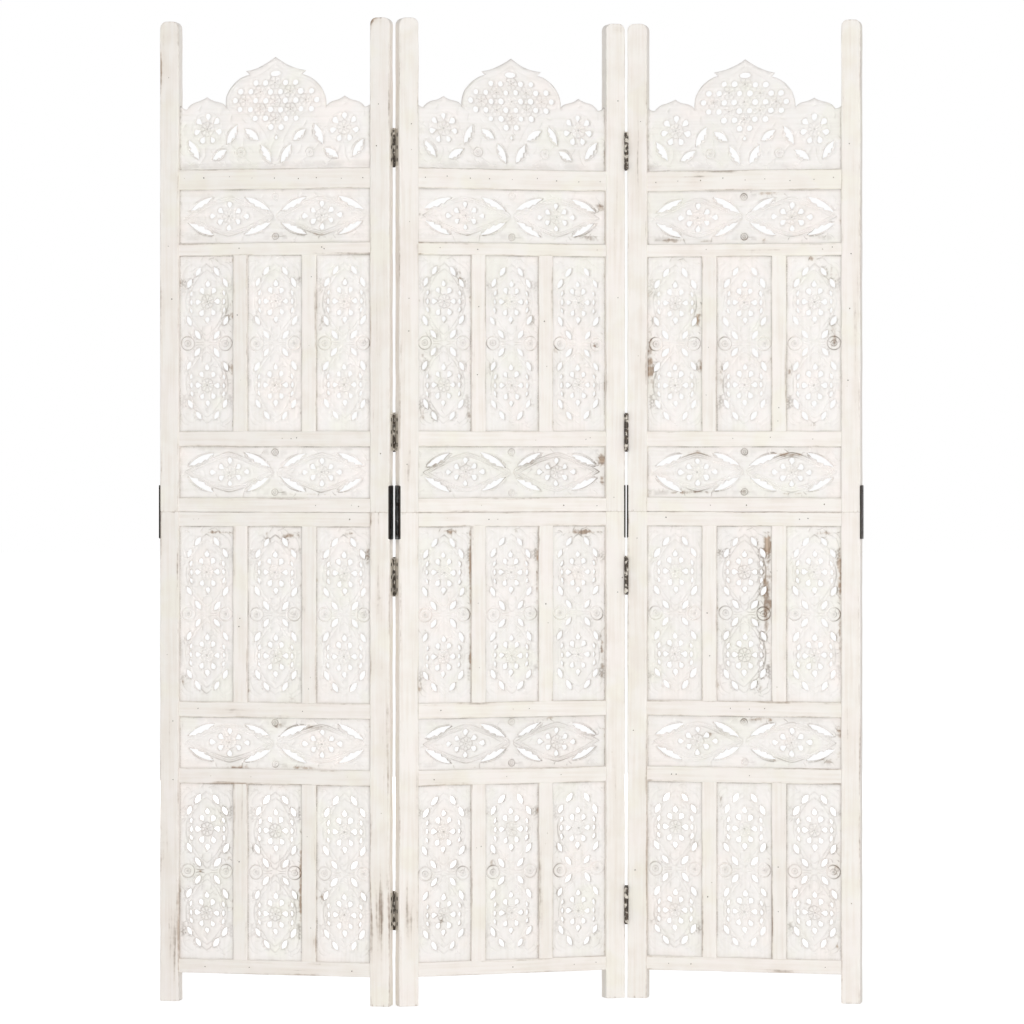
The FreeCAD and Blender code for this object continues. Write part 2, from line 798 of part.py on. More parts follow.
def make_pin(name):
    """A hinge pin about its middle, with a flat head past each end of the barrel."""
    shaft = cylinder(
        f"{name}_shaft",
        ("0", "0", "-hinge_length / 2 - knuckle_gap"),
        "pin_radius",
        "hinge_length + 2 * knuckle_gap",
    )
    heads = [
        cylinder(f"{name}_{end}_head", ("0", "0", bottom), "pin_head_radius", "pin_head_height")
        for end, bottom in (
            ("upper", "hinge_length / 2 + knuckle_gap"),
            ("lower", "-hinge_length / 2 - knuckle_gap - pin_head_height"),
        )
    ]
    return fuse(name, [shaft] + heads)


def make_screw(name):
    """A slotted countersunk wood screw from the top of its head, driven towards +X."""
    head = cone(
        f"{name}_head",
        ("0", "0", "0"),
        "screw_head_radius",
        "screw_radius",
        "iron_thickness",
        along="X",
    )
    shank = cylinder(
        f"{name}_shank",
        ("iron_thickness", "0", "0"),
        "screw_radius",
        "screw_length - iron_thickness - screw_tip_length",
        along="X",
    )
    tip = cone(
        f"{name}_tip",
        ("screw_length - screw_tip_length", "0", "0"),
        "screw_radius",
        "0",
        "screw_tip_length",
        along="X",
    )
    slot = box(
        f"{name}_slot",
        ("0", "-screw_head_radius", "-screw_slot_width / 2"),
        ("screw_slot_depth", "2 * screw_head_radius", "screw_slot_width"),
    )
    return cut(name, fuse(f"{name}_joined", [head, shank, tip]), [slot])


# Where the panels and hinge lines stand


def yaw(degrees):
    """A turn about the upright axis."""
    return Rotation(Vector(0, 0, 1), degrees)


def hinge_line(side):
    """Foot of a hinge axis in a panel's own frame: behind the left joint, before the right one."""
    reach = number(f"(panel_width + {HINGE_GAP}) / 2")
    out = number(f"stile_thickness / 2 + {BARREL_OFFSET}")
    return Vector(side * reach, -side * out, 0)


def panel_poses():
    """Placement of each panel, so that the standing screen's footprint is centred on the origin."""
    middle = Placement(Vector(), yaw(number("middle_panel_turn")))
    poses = {"middle": middle}
    for name, side in (("left", -1), ("right", 1)):
        turn = yaw(-number(f"{name}_panel_turn"))
        own_line = Vector(-hinge_line(side).x, hinge_line(side).y, 0)
        poses[name] = Placement(middle.multVec(hinge_line(side)) - turn.multVec(own_line), turn)
    corners = [pose.multVec(corner) for pose in poses.values() for corner in footprint_corners()]
    low = Vector(min(p.x for p in corners), min(p.y for p in corners), 0)
    high = Vector(max(p.x for p in corners), max(p.y for p in corners), 0)
    shift = Placement((low + high) * -0.5, Rotation())
    return {name: shift.multiply(pose) for name, pose in poses.items()}


def footprint_corners():
    """Corners of one panel and of the plates on its edges, seen from above."""
    half_width = number("panel_width / 2")
    half_thickness = number("stile_thickness / 2")
    plate_reach = number("panel_width / 2 + iron_thickness")
    plate_half = number("stile_thickness / 2 - plate_edge_margin")
    return [
        Vector(across * x, upward * y, 0)
        for x, y in ((half_width, half_thickness), (plate_reach, plate_half))
        for across in (-1, 1)
        for upward in (-1, 1)
    ]


def at(x, y, z, degrees=0):
    """A place in a panel's own frame, turned about the upright axis."""
    return Placement(Vector(x, y, z), yaw(degrees))


nodes = []


def add_node(name, copies, pose):
    """One named node: copies of master pieces at their places, carried to where the panel stands."""
    links = []
    for index, (master, local) in enumerate(copies):
        link = doc.addObject("App::Link", f"{name}_{index}")
        link.LinkedObject = master
        link.LinkTransform = True
        link.Placement = local
        links.append(link)
    group = doc.addObject("Part::Compound", name)
    group.Label = name
    group.Links = links
    group.Placement = pose
    nodes.append(group)


# Master pieces

UPPER_HINGES = [f"{UPPER_LENGTH} - top_hinge_drop", "upper_hinge_rise"]
LOWER_HINGES = [f"{LOWER_LENGTH} - lower_hinge_drop", "bottom_hinge_rise"]
# Each section with its courses, its length, the height of its bottom and the middles of its hinges
SECTIONS = {
    "upper": (UPPER_COURSES, UPPER_LENGTH, LOWER_LENGTH, UPPER_HINGES),
    "lower": (LOWER_COURSES, LOWER_LENGTH, "0", LOWER_HINGES),
}

stiles = {}
rails = {}
for section, (courses, length, _, hinge_middles) in SECTIONS.items():
    for kind, middles in (("hinged", hinge_middles), ("plain", [])):
        name = f"{section}_{kind}_stile"
        stiles[section, kind] = make_stile(name, courses, length, middles, section == "lower")
    for index, (kind, size) in enumerate(courses):
        if kind == "rail":
            name = f"{section}_{size.replace('_height', '')}_{index}"
            rails[section, index] = make_rail(
                name, size, has_board(courses, index + 1), has_board(courses, index - 1)
            )
muntin = make_muntin("muntin")
tall_board = make_tall_board("tall_board")
friezes = {
    size: make_frieze_board(size.replace("_opening", "_board"), size)
    for size in ("frieze_opening", "top_frieze_opening")
}
crest_board = make_crest_board("crest_board")
plate = make_plate("plate")
leaves = {"outer": make_leaf("outer_leaf", -1, 0), "inner": make_leaf("inner_leaf", 1, 1)}
pin = make_pin("pin")
screw = make_screw("screw")
doc.recompute()

# The three panels

opening = number(OPENING)
half_panel = number("panel_width / 2")
iron = number("iron_thickness")
seam = number(LOWER_LENGTH)
board_pitch = number(f"{TALL_FIELD} + muntin_width")
poses = panel_poses()
HINGED_SIDES = {"left": ("right",), "middle": ("left", "right"), "right": ("left",)}
SIDES = (("left", -1, 180), ("right", 1, 0))


def add_frame(panel, pose):
    """Stiles, rails and muntins of one panel."""
    for section, (courses, _, section_bottom, _) in SECTIONS.items():
        bottom = number(section_bottom)
        for side, sign, turn in SIDES:
            kind = "hinged" if side in HINGED_SIDES[panel] else "plain"
            local = at(sign * opening / 2, 0, bottom, turn)
            add_node(f"{panel}_{section}_{side}_stile", [(stiles[section, kind], local)], pose)
        placed = [
            (index, kind, bottom + number(low))
            for index, (kind, _, low) in enumerate(course_bottoms(courses))
        ]
        rail_copies = [
            (rails[section, index], at(0, 0, low))
            for index, kind, low in placed
            if kind == "rail"
        ]
        add_node(f"{panel}_{section}_rails", rail_copies, pose)
        muntin_copies = [
            (muntin, at(sign * board_pitch / 2, 0, low))
            for _, kind, low in placed
            if kind == "tall"
            for sign in (-1, 1)
        ]
        add_node(f"{panel}_{section}_muntins", muntin_copies, pose)


def add_boards(panel, pose):
    """Carved boards of one panel, a node for each row of tall boards."""
    tall_rows = []
    for section, (courses, _, section_bottom, _) in SECTIONS.items():
        frieze_copies = []
        for kind, size, low in course_bottoms(courses):
            bottom = number(f"{section_bottom} + {low}")
            middle = bottom + number(size) / 2
            if kind == "tall":
                tall_rows.append(middle)
            elif kind == "frieze":
                frieze_copies.append((friezes[size], at(0, 0, middle)))
            elif kind == "crest":
                add_node(f"{panel}_crest_board", [(crest_board, at(0, 0, bottom))], pose)
        add_node(f"{panel}_{section}_frieze", frieze_copies, pose)
    for row, middle in zip(("bottom", "middle", "top"), sorted(tall_rows)):
        copies = [(tall_board, at(step * board_pitch, 0, middle)) for step in (-1, 0, 1)]
        add_node(f"{panel}_{row}_tall_boards", copies, pose)


def add_plates(panel, pose):
    """Joining plates on both edges of one panel, and their screws."""
    plate_copies = []
    screw_copies = []
    for _, sign, turn in SIDES:
        outside = sign * (half_panel + iron)
        inward = turn + 180
        plate_copies.append((plate, at(outside, 0, seam, inward)))
        for height in plate_screw_heights("0", -1) + plate_screw_heights("0", 1):
            screw_copies.append((screw, at(outside, 0, seam + number(height), inward)))
    add_node(f"{panel}_joining_plates", plate_copies, pose)
    add_node(f"{panel}_plate_screws", screw_copies, pose)


def add_hinges(line, side):
    """Four butt hinges between the middle panel and its neighbour, with pins and screws.

    The leaf with the outer knuckles and the pin go with the neighbour, the other leaf with the middle panel.
    """
    middles = [
        number(f"{section_bottom} + {middle}")
        for _, _, section_bottom, hinge_middles in SECTIONS.values()
        for middle in hinge_middles
    ]
    turn = 0 if side < 0 else 180
    foot = hinge_line(side)
    own_foot = Vector(-foot.x, foot.y, 0)
    open_face = number("leaf_gap / 2")
    for leaf, leaf_side, pose, line_foot in (
        ("outer", -1, poses[line], own_foot),
        ("inner", 1, poses["middle"], foot),
    ):
        leaf_copies = []
        screw_copies = []
        for middle in middles:
            barrel = at(line_foot.x, line_foot.y, middle, turn)
            leaf_copies.append((leaves[leaf], barrel))
            for height in hinge_screw_heights("0"):
                drive = at(
                    leaf_side * open_face,
                    -number(f"{BARREL_OFFSET} + stile_thickness / 2"),
                    number(height),
                    0 if leaf_side > 0 else 180,
                )
                screw_copies.append((screw, barrel.multiply(drive)))
        add_node(f"{line}_hinge_{leaf}_leaves", leaf_copies, pose)
        add_node(f"{line}_hinge_{leaf}_screws", screw_copies, pose)
    pin_copies = [(pin, at(own_foot.x, own_foot.y, middle, turn)) for middle in middles]
    add_node(f"{line}_hinge_pins", pin_copies, poses[line])


for panel, pose in poses.items():
    add_frame(panel, pose)
    add_boards(panel, pose)
    add_plates(panel, pose)
for line, side in (("left", -1), ("right", 1)):
    add_hinges(line, side)
doc.recompute()

failed = [thing.Name for thing in doc.Objects if {"Invalid", "Error"} & set(thing.State)]
failed += [group.Name for group in nodes if group.Shape.isNull() or not group.Shape.isValid()]
if failed:
    raise RuntimeError("failed objects: " + ", ".join(failed))

os.makedirs("parts", exist_ok=True)
for group in nodes:
    group.Shape.exportStep(f"parts/{group.Label}.step")
for line, side in (("left", -1), ("right", 1)):
    foot = poses["middle"].multVec(hinge_line(side))
    print(f"{line} hinge line at x {foot.x:.3f}, y {foot.y:.3f}")
print(f"{len(nodes)} nodes, {sum(len(group.Shape.Solids) for group in nodes)} solids")
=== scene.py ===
# %% [markdown]
# A carved folding screen: three panels of whitewashed hardwood, hinged in a zigzag.
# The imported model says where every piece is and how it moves. This lesson gives each piece
# its surface: worn edges on the frame, relief and piercings on the boards, old iron on the
# hinges. Work is done in each panel's own millimetres, which are easy to read against a real
# screen, and only the finished meshes are taken to the frame's metres.

# %% Load the frame
import json
import math
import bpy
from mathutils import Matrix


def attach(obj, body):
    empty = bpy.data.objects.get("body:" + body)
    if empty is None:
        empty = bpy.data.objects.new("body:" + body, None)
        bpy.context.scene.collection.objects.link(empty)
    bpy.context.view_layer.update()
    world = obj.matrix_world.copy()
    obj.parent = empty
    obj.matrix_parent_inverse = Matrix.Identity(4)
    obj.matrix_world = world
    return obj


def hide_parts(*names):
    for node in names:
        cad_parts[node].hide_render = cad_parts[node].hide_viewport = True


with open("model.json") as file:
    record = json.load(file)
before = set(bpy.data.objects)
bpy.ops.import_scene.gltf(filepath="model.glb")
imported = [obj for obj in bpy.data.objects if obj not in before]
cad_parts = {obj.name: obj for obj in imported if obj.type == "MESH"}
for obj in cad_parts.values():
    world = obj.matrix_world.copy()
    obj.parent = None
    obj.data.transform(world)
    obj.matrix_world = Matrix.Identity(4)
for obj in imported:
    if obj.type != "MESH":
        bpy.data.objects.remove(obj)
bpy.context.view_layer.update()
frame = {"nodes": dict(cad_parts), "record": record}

import zlib

import bmesh
import bpy
import numpy as np
from mathutils import Matrix, Vector
from mathutils.geometry import delaunay_2d_cdt
from mathutils.kdtree import KDTree

MM = 0.001

# %% [markdown]
# Each panel stands on two feet, and the record gives the middle of each foot. The line from
# the left foot to the right one gives the panel's place and turn, so nothing is measured twice.

# %% Where the panels stand
PANELS = ("left", "middle", "right")
feet = {mount["name"]: Vector(mount["pos_m"]) for mount in frame["record"]["mounts"]}


def panel_pose(panel):
    """The matrix that takes a panel's own millimetres to the frame's metres."""
    left = feet[f"{panel}_panel_left_foot"]
    right = feet[f"{panel}_panel_right_foot"]
    along = right - left
    turn = Matrix.Rotation(math.atan2(along.y, along.x), 4, "Z")
    return Matrix.Translation((left + right) / 2) @ turn @ Matrix.Scale(MM, 4)


poses = {panel: panel_pose(panel) for panel in PANELS}
for panel, pose in poses.items():
    print(f"{panel} panel turned {math.degrees(pose.to_euler().z):.1f} degrees")

# %% [markdown]
# A panel is two frames, one on the other. Each frame is a stack of rails with carved boards
# between them, so a list of courses from the floor up gives every height.

# %% Sizes of one panel, in millimetres
PANEL_WIDTH = 396.0
STILE_WIDTH = 32.0
STILE_THICKNESS = 25.0
STILE_TOP_RADIUS = 11.0
STILE_HORN = 250.0
RAIL_THICKNESS = 21.0
MUNTIN_WIDTH = 25.0
MUNTIN_THICKNESS = 19.0
BOARD_THICKNESS = 10.0
LEG_HEIGHT = 48.0
CREST_HEIGHT = 187.0
HOUSED = 3.0

OPENING = PANEL_WIDTH - 2 * STILE_WIDTH
TALL_FIELD = (OPENING - 2 * MUNTIN_WIDTH) / 3
TALL_PITCH = TALL_FIELD + MUNTIN_WIDTH
STILE_MIDDLE = (PANEL_WIDTH - STILE_WIDTH) / 2

COURSES = {
    "lower": [
        ("leg", LEG_HEIGHT),
        ("rail", 24.0),
        ("bottom_tall_boards", 295.0),
        ("rail", 26.0),
        ("lower_frieze", 86.0),
        ("rail", 26.0),
        ("middle_tall_boards", 295.0),
        ("rail", 24.0),
    ],
    "upper": [
        ("rail", 24.0),
        ("upper_frieze", 86.0),
        ("rail", 26.0),
        ("top_tall_boards", 295.0),
        ("rail", 21.0),
        ("upper_frieze", 90.0),
        ("rail", 34.0),
        ("crest_board", CREST_HEIGHT),
    ],
}
SEAM = sum(height for _, height in COURSES["lower"])
SECTION_BOTTOM = {"lower": 0.0, "upper": SEAM}


def stack(section):
    """Every course of a section as its kind, its bottom and its top."""
    bottom = SECTION_BOTTOM[section]
    placed = []
    for kind, height in COURSES[section]:
        placed.append((kind, bottom, bottom + height))
        bottom += height
    return placed


STILE_TOP = stack("upper")[-1][1] + STILE_HORN
print(f"seam at {SEAM:.0f} mm, stile tops at {STILE_TOP:.0f} mm, tall boards {TALL_FIELD:.1f} mm wide")

# %% [markdown]
# Hand work is never quite even. A sum of a few sine waves with seeded phases gives a smooth
# wander that is the same on every run, and it is used for edges, faces and the carver's hand.

# %% Unevenness of hand work
TREE_SEEDS = 10000


def seed_of(name):
    """A fixed seed for a piece, from its name."""
    return zlib.crc32(name.encode())


def tree_seed(name):
    """The same, small enough for an input of a Geometry Nodes tree."""
    return seed_of(name) % TREE_SEEDS


def wander(places, seed, longest):
    """Smooth unevenness from about -1 to 1 along a length."""
    draw = np.random.default_rng(seed)
    total = np.zeros(len(places))
    for step in range(4):
        phase, stretch = draw.uniform(0, 2 * math.pi), draw.uniform(0.8, 1.25)
        total += np.sin(2 * math.pi * places * stretch * 2**step / longest + phase) / 1.6**step
    return total / 2


def wander_over(across, up, seed, longest):
    """The same over a face, from two slanted families of waves."""
    first = wander(0.8 * across + 0.6 * up, seed, longest)
    return (first + wander(0.6 * across - 0.8 * up, seed + 1, longest)) / 1.4


print("wander sample:", np.round(wander(np.arange(0, 90, 30.0), seed_of("stile"), 90), 2))

# %% [markdown]
# Colours are written as sRGB hex values, the way a paint chart gives them, and one function
# turns them to the linear values that the shader needs. One more function adds a node: it
# sets the node's own settings, and links an input that is a socket or sets one that is a value.

# %% Colours and nodes


def colour(code):
    """A linear RGBA colour from an sRGB hex code."""
    parts = [int(code[start:start + 2], 16) / 255 for start in (1, 3, 5)]
    return [p / 12.92 if p <= 0.04045 else ((p + 0.055) / 1.055) ** 2.4 for p in parts] + [1.0]


def add(tree, kind, inputs=None, **settings):
    """Adds a node, applies its settings, and links or sets its inputs."""
    node = tree.nodes.new(kind)
    for name, value in settings.items():
        setattr(node, name, value)
    for socket, value in (inputs or {}).items():
        if isinstance(value, bpy.types.NodeSocket):
            tree.links.new(value, node.inputs[socket])
        else:
            node.inputs[socket].default_value = value
    return node


def new_material(name):
    """An empty material's node tree with its Principled shader."""
    material = bpy.data.materials.new(name)
    material.use_nodes = True
    tree = material.node_tree
    return material, tree, tree.nodes["Principled BSDF"]


def paint_ramp(node, stops):
    """Gives a colour ramp its stops, as places and hex codes."""
    ramp = node.color_ramp
    while len(ramp.elements) < len(stops):
        ramp.elements.new(0.5)
    for element, (place, code) in zip(ramp.elements, stops):
        element.position = place
        element.color = colour(code)


print("chalk white in linear light:", [round(c, 3) for c in colour("#EFEAE1")])

# %% [markdown]
# The wood is a pale hardwood such as mango, sealed with a thin chalky whitewash and rubbed
# back by hand. The eye sees a matt cream, never one colour: long faint streaks of grain,
# clouds of pink and straw where the coat is thin, dark wash left in the cuts, and brown wood
# at rubbed edges. Five painted layers on the mesh steer it: grain (the place along and across
# the fibres, in metres), worn (edges), dirt_and_shade (dark wash in the cuts, painted shadow
# lines where the boards meet the frame, and deep pits painted darker), bare (rubbed spots) and
# tone_and_light (how pale a piece came out, with painted light and shade that differs by panel
# and a painted lighter edge in the gaps between panels). Object coordinates would run one grain
# straight through every bar, so each pattern reads the grain layer, which has its own start on
# each bar and board.

# %% Whitewashed wood
PAINTED_LAYERS = ("grain", "worn", "dirt_and_shade", "bare", "tone_and_light")
CLOUD_MM = 75.0
BLOTCH_MM = 34.0
BLOTCH_SHARE = 0.45
STREAK_LENGTH_MM = 130.0
STREAK_WIDTH_MM = 5.0
SPECK_MM = 4.0
MOTTLE_MM = 9.0
# The colour of the dark wash in the cuts, and also of the painted shadow lines and darker pits.
DIRT_AND_SHADE_COLOUR = "#6F6152"
WOOD_STOPS = [(0.3, "#BDA48A"), (0.7, "#755D49")]
BARE_THINS = 0.5
THIN_FROM, THIN_FULL = 0.44, 0.66
DIRT_AND_SHADE_FROM, DIRT_AND_SHADE_FULL, DIRT_AND_SHADE_LEAST = 0.3, 0.65, 0.7
RUB_FROM, RUB_FULL, RUB_MOST = 1.2, 1.75, 0.85
SMOOTHEST_COAT, ROUGHEST_COAT = 0.58, 0.78
SPECK_HEIGHT = 0.35
GRAIN_BUMP = 0.22
GRAIN_RELIEF_MM = 0.4
WOOD_IOR = 1.46
NOISE_LOW, NOISE_HIGH = 0.3, 0.7


def whitewashed_wood(name, coat_stops, thin_coat, thin_share, edge_wear, rub_streaks, rub_mottle):
    """A matt limed coat over brown wood, with its grain along the layer called grain."""
    material, tree, shader = new_material(name)
    layer = {
        label: add(tree, "ShaderNodeAttribute", attribute_name=label).outputs
        for label in PAINTED_LAYERS
    }
    grain = layer["grain"]["Vector"]
    across = 1 / (STREAK_WIDTH_MM * MM)
    fibre_scale = (1 / (STREAK_LENGTH_MM * MM), across, across)
    fibres = add(tree, "ShaderNodeVectorMath", {0: grain, 1: fibre_scale}, operation="MULTIPLY").outputs[0]
    streak = add(tree, "ShaderNodeTexNoise", {"Vector": fibres, "Scale": 1.0, "Detail": 3.0}).outputs["Fac"]
    cloud, blotch, mottle, speck = (
        add(
            tree, "ShaderNodeTexNoise", {"Vector": grain, "Scale": 1 / (size * MM), "Detail": detail}
        ).outputs["Fac"]
        for size, detail in ((CLOUD_MM, 2.0), (BLOTCH_MM, 3.0), (MOTTLE_MM, 3.0), (SPECK_MM, 2.0))
    )
    patchy = add(tree, "ShaderNodeMix", {0: BLOTCH_SHARE, 2: streak, 3: blotch}).outputs[0]

    tint = add(tree, "ShaderNodeValToRGB", {"Fac": cloud})
    paint_ramp(tint, coat_stops)
    rubbed_streak = add(
        tree, "ShaderNodeMath", {0: layer["bare"]["Fac"], 1: BARE_THINS, 2: patchy}, operation="MULTIPLY_ADD"
    ).outputs[0]
    thin = add(
        tree, "ShaderNodeMapRange",
        {"Value": rubbed_streak, 1: THIN_FROM, 2: THIN_FULL, 3: 0.0, 4: thin_share},
    ).outputs[0]
    coat = add(
        tree, "ShaderNodeMix", {0: thin, 6: tint.outputs[0], 7: colour(thin_coat)}, data_type="RGBA"
    ).outputs[2]
    # The dirt_and_shade layer: dark wash in the cuts plus painted shadow lines and darker pits, broken up by
    # the mottle.
    broken = add(
        tree, "ShaderNodeMapRange", {"Value": mottle, 1: DIRT_AND_SHADE_FROM, 2: DIRT_AND_SHADE_FULL, 3: DIRT_AND_SHADE_LEAST, 4: 1.0}
    ).outputs[0]
    dirt_and_shade_share = add(
        tree, "ShaderNodeMath", {0: layer["dirt_and_shade"]["Fac"], 1: broken}, operation="MULTIPLY"
    ).outputs[0]
    soiled_and_shaded = add(
        tree, "ShaderNodeMix", {0: dirt_and_shade_share, 6: coat, 7: colour(DIRT_AND_SHADE_COLOUR)}, data_type="RGBA"
    ).outputs[2]

    rub = add(
        tree, "ShaderNodeMath", {0: layer["worn"]["Fac"], 1: edge_wear, 2: layer["bare"]["Fac"]},
        operation="MULTIPLY_ADD",
    ).outputs[0]
    for noise, weight in ((streak, rub_streaks), (mottle, rub_mottle)):
        rub = add(tree, "ShaderNodeMath", {0: noise, 1: weight, 2: rub}, operation="MULTIPLY_ADD").outputs[0]
    rubbed = add(
        tree, "ShaderNodeMapRange", {"Value": rub, 1: RUB_FROM, 2: RUB_FULL, 3: 0.0, 4: RUB_MOST},
        interpolation_type="SMOOTHSTEP",
    ).outputs[0]
    wood = add(tree, "ShaderNodeValToRGB", {"Fac": streak})
    paint_ramp(wood, WOOD_STOPS)
    aged = add(
        tree, "ShaderNodeMix", {0: rubbed, 6: soiled_and_shaded, 7: wood.outputs[0]}, data_type="RGBA"
    ).outputs[2]
    toned = add(
        tree, "ShaderNodeVectorMath", {0: aged, "Scale": layer["tone_and_light"]["Fac"]}, operation="SCALE"
    ).outputs[0]
    tree.links.new(toned, shader.inputs["Base Color"])

    matt = add(
        tree, "ShaderNodeMapRange",
        {"Value": speck, 1: NOISE_LOW, 2: NOISE_HIGH, 3: SMOOTHEST_COAT, 4: ROUGHEST_COAT},
    ).outputs[0]
    tree.links.new(matt, shader.inputs["Roughness"])
    height = add(
        tree, "ShaderNodeMath", {0: speck, 1: SPECK_HEIGHT, 2: streak}, operation="MULTIPLY_ADD"
    ).outputs[0]
    bump = add(
        tree, "ShaderNodeBump",
        {"Strength": GRAIN_BUMP, "Distance": GRAIN_RELIEF_MM * MM, "Height": height},
    )
    tree.links.new(bump.outputs[0], shader.inputs["Normal"])
    shader.inputs["IOR"].default_value = WOOD_IOR
    return material


frame_wood = whitewashed_wood(
    "whitewashed mango wood, planed",
    [(0.36, "#F0EAE5"), (0.46, "#F0EBE5"), (0.56, "#EFEBE5"), (0.66, "#EEEAE0")],
    thin_coat="#E3DACF", thin_share=0.55, edge_wear=0.36, rub_streaks=1.3, rub_mottle=0.45,
)
carved_wood = whitewashed_wood(
    "whitewashed mango wood, carved",
    [(0.36, "#F4EEEA"), (0.46, "#F2EEEB"), (0.56, "#F1EEEB"), (0.66, "#F0EEE7")],
    thin_coat="#E5E1DA", thin_share=0.5, edge_wear=0.12, rub_streaks=0.7, rub_mottle=1.1,
)
print("made", frame_wood.name, "and", carved_wood.name)

# %% [markdown]
# The joining plates and hinges are forged iron, blackened in oil. The eye sees a near-black
# metal with a dull shine, brown where rust starts, and on the hinges a smear of whitewash
# from the brush that painted the stiles. The screws are a little paler than the plates, and
# the small nail heads are half lost under the same whitewash.

# %% Old iron
RUST_MM = 3.0
SMEAR_MM = 7.0
SMEAR_COLOUR = "#DDD6CA"
BRUSH_SHARE = 0.4
RUST_FROM, RUST_FULL = 0.45, 0.7
SMEAR_SOFTNESS, SMEAR_MOST = 0.1, 0.9
IRON_METALLIC = 0.85
SMOOTHEST_IRON, ROUGHEST_IRON = 0.38, 0.72
IRON_BUMP = 0.35
IRON_RELIEF_MM = 0.2


def old_iron(name, dark, rust, smear_from):
    """Blackened iron: two browns in small clouds, with whitewash above the smear level."""
    material, tree, shader = new_material(name)
    place = add(tree, "ShaderNodeTexCoord").outputs["Object"]
    clouds, smears = (
        add(
            tree, "ShaderNodeTexNoise", {"Vector": place, "Scale": 1 / (size * MM), "Detail": detail}
        ).outputs["Fac"]
        for size, detail in ((RUST_MM, 4.0), (SMEAR_MM, 3.0))
    )
    brushed = add(tree, "ShaderNodeAttribute", attribute_name="brushed").outputs["Fac"]
    smears = add(
        tree, "ShaderNodeMath", {0: brushed, 1: BRUSH_SHARE, 2: smears}, operation="MULTIPLY_ADD"
    ).outputs[0]
    rusty = add(
        tree, "ShaderNodeMapRange", {"Value": clouds, 1: RUST_FROM, 2: RUST_FULL, 3: 0.0, 4: 1.0}
    ).outputs[0]
    metal = add(
        tree, "ShaderNodeMix", {0: rusty, 6: colour(dark), 7: colour(rust)}, data_type="RGBA"
    ).outputs[2]
    smeared = add(
        tree, "ShaderNodeMapRange",
        {"Value": smears, 1: smear_from, 2: smear_from + SMEAR_SOFTNESS, 3: 0.0, 4: SMEAR_MOST},
    ).outputs[0]
    painted = add(
        tree, "ShaderNodeMix", {0: smeared, 6: metal, 7: colour(SMEAR_COLOUR)}, data_type="RGBA"
    ).outputs[2]
    tree.links.new(painted, shader.inputs["Base Color"])
    bright = add(
        tree, "ShaderNodeMath", {0: IRON_METALLIC, 1: smeared}, operation="SUBTRACT", use_clamp=True
    ).outputs[0]
    tree.links.new(bright, shader.inputs["Metallic"])
    rough = add(
        tree, "ShaderNodeMapRange",
        {"Value": clouds, 1: NOISE_LOW, 2: NOISE_HIGH, 3: SMOOTHEST_IRON, 4: ROUGHEST_IRON},
    ).outputs[0]
    tree.links.new(rough, shader.inputs["Roughness"])
    bump = add(
        tree, "ShaderNodeBump", {"Strength": IRON_BUMP, "Distance": IRON_RELIEF_MM * MM, "Height": clouds}
    )
    tree.links.new(bump.outputs[0], shader.inputs["Normal"])
    return material


plate_iron = old_iron("blackened forged iron", "#2A2725", "#41352D", smear_from=0.75)
hinge_iron = old_iron("forged hinge iron with whitewash", "#4A4540", "#65584C", smear_from=0.5)
screw_iron = old_iron("dull screw iron", "#4A4641", "#5E5044", smear_from=0.66)
nail_iron = old_iron("nail iron, brushed over with whitewash", "#6B625A", "#8A7D70", smear_from=0.5)
print("made", plate_iron.name, "and its relatives")

# %% [markdown]
# A finished piece is a plain mesh in metres that rides on its panel and stands for one or more
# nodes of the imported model. Painted layers are stored on its vertices, so a pattern follows
# the piece and not the room.

# %% From shapes to pieces
SMOOTH_ANGLE = math.radians(55)


def new_object(name, data):
    """Puts a mesh, a lamp or a camera into the scene as an object."""
    thing = bpy.data.objects.new(name, data)
    bpy.context.scene.collection.objects.link(thing)
    return thing


def store_layers(mesh, layers):
    """Writes painted layers to a mesh, one value or vector for each vertex."""
    for name, values in layers.items():
        vector = values.ndim == 2
        layer = mesh.attributes.new(name, "FLOAT_VECTOR" if vector else "FLOAT", "POINT")
        layer.data.foreach_set("vector" if vector else "value", values.astype(np.float32).ravel())


def joined(parts):
    """Several shapes as one: points, faces and painted layers."""
    points = np.concatenate([part["points"] for part in parts])
    faces = []
    start = 0
    for part in parts:
        faces += [[corner + start for corner in face] for face in part["faces"]]
        start += len(part["points"])
    names = parts[0]["layers"]
    layers = {name: np.concatenate([part["layers"][name] for part in parts]) for name in names}
    return points, faces, layers


def closed_mesh(name, parts):
    """One mesh from closed shapes, with its faces pointing outwards."""
    points, faces, layers = joined(parts)
    mesh = bpy.data.meshes.new(name)
    mesh.from_pydata(points.tolist(), [], faces)
    shape = bmesh.new()
    shape.from_mesh(mesh)
    bmesh.ops.recalc_face_normals(shape, faces=shape.faces)
    shape.to_mesh(mesh)
    shape.free()
    store_layers(mesh, layers)
    return mesh


def show(mesh, name, panel, nodes, pose):
    """Makes a mesh a piece of the screen that rides on a panel and replaces nodes."""
    mesh.transform(pose)
    mesh.shade_smooth()
    mesh.set_sharp_from_angle(angle=SMOOTH_ANGLE)
    piece = new_object(name, mesh)
    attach(piece, f"{panel}_panel")
    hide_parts(*nodes)


# %% [markdown]
# Stiles, rails and muntins are planed bars whose edges were knocked off by hand and have worn
# since. A bar could be a box with a Bevel modifier, but then every edge would be alike. Here a
# ring of points runs round the section, and a row of rings along the bar takes a different
# edge radius and a little hollow at each step, as a hand plane leaves it.

# %% Worn bars
EDGE_RADIUS = 1.7
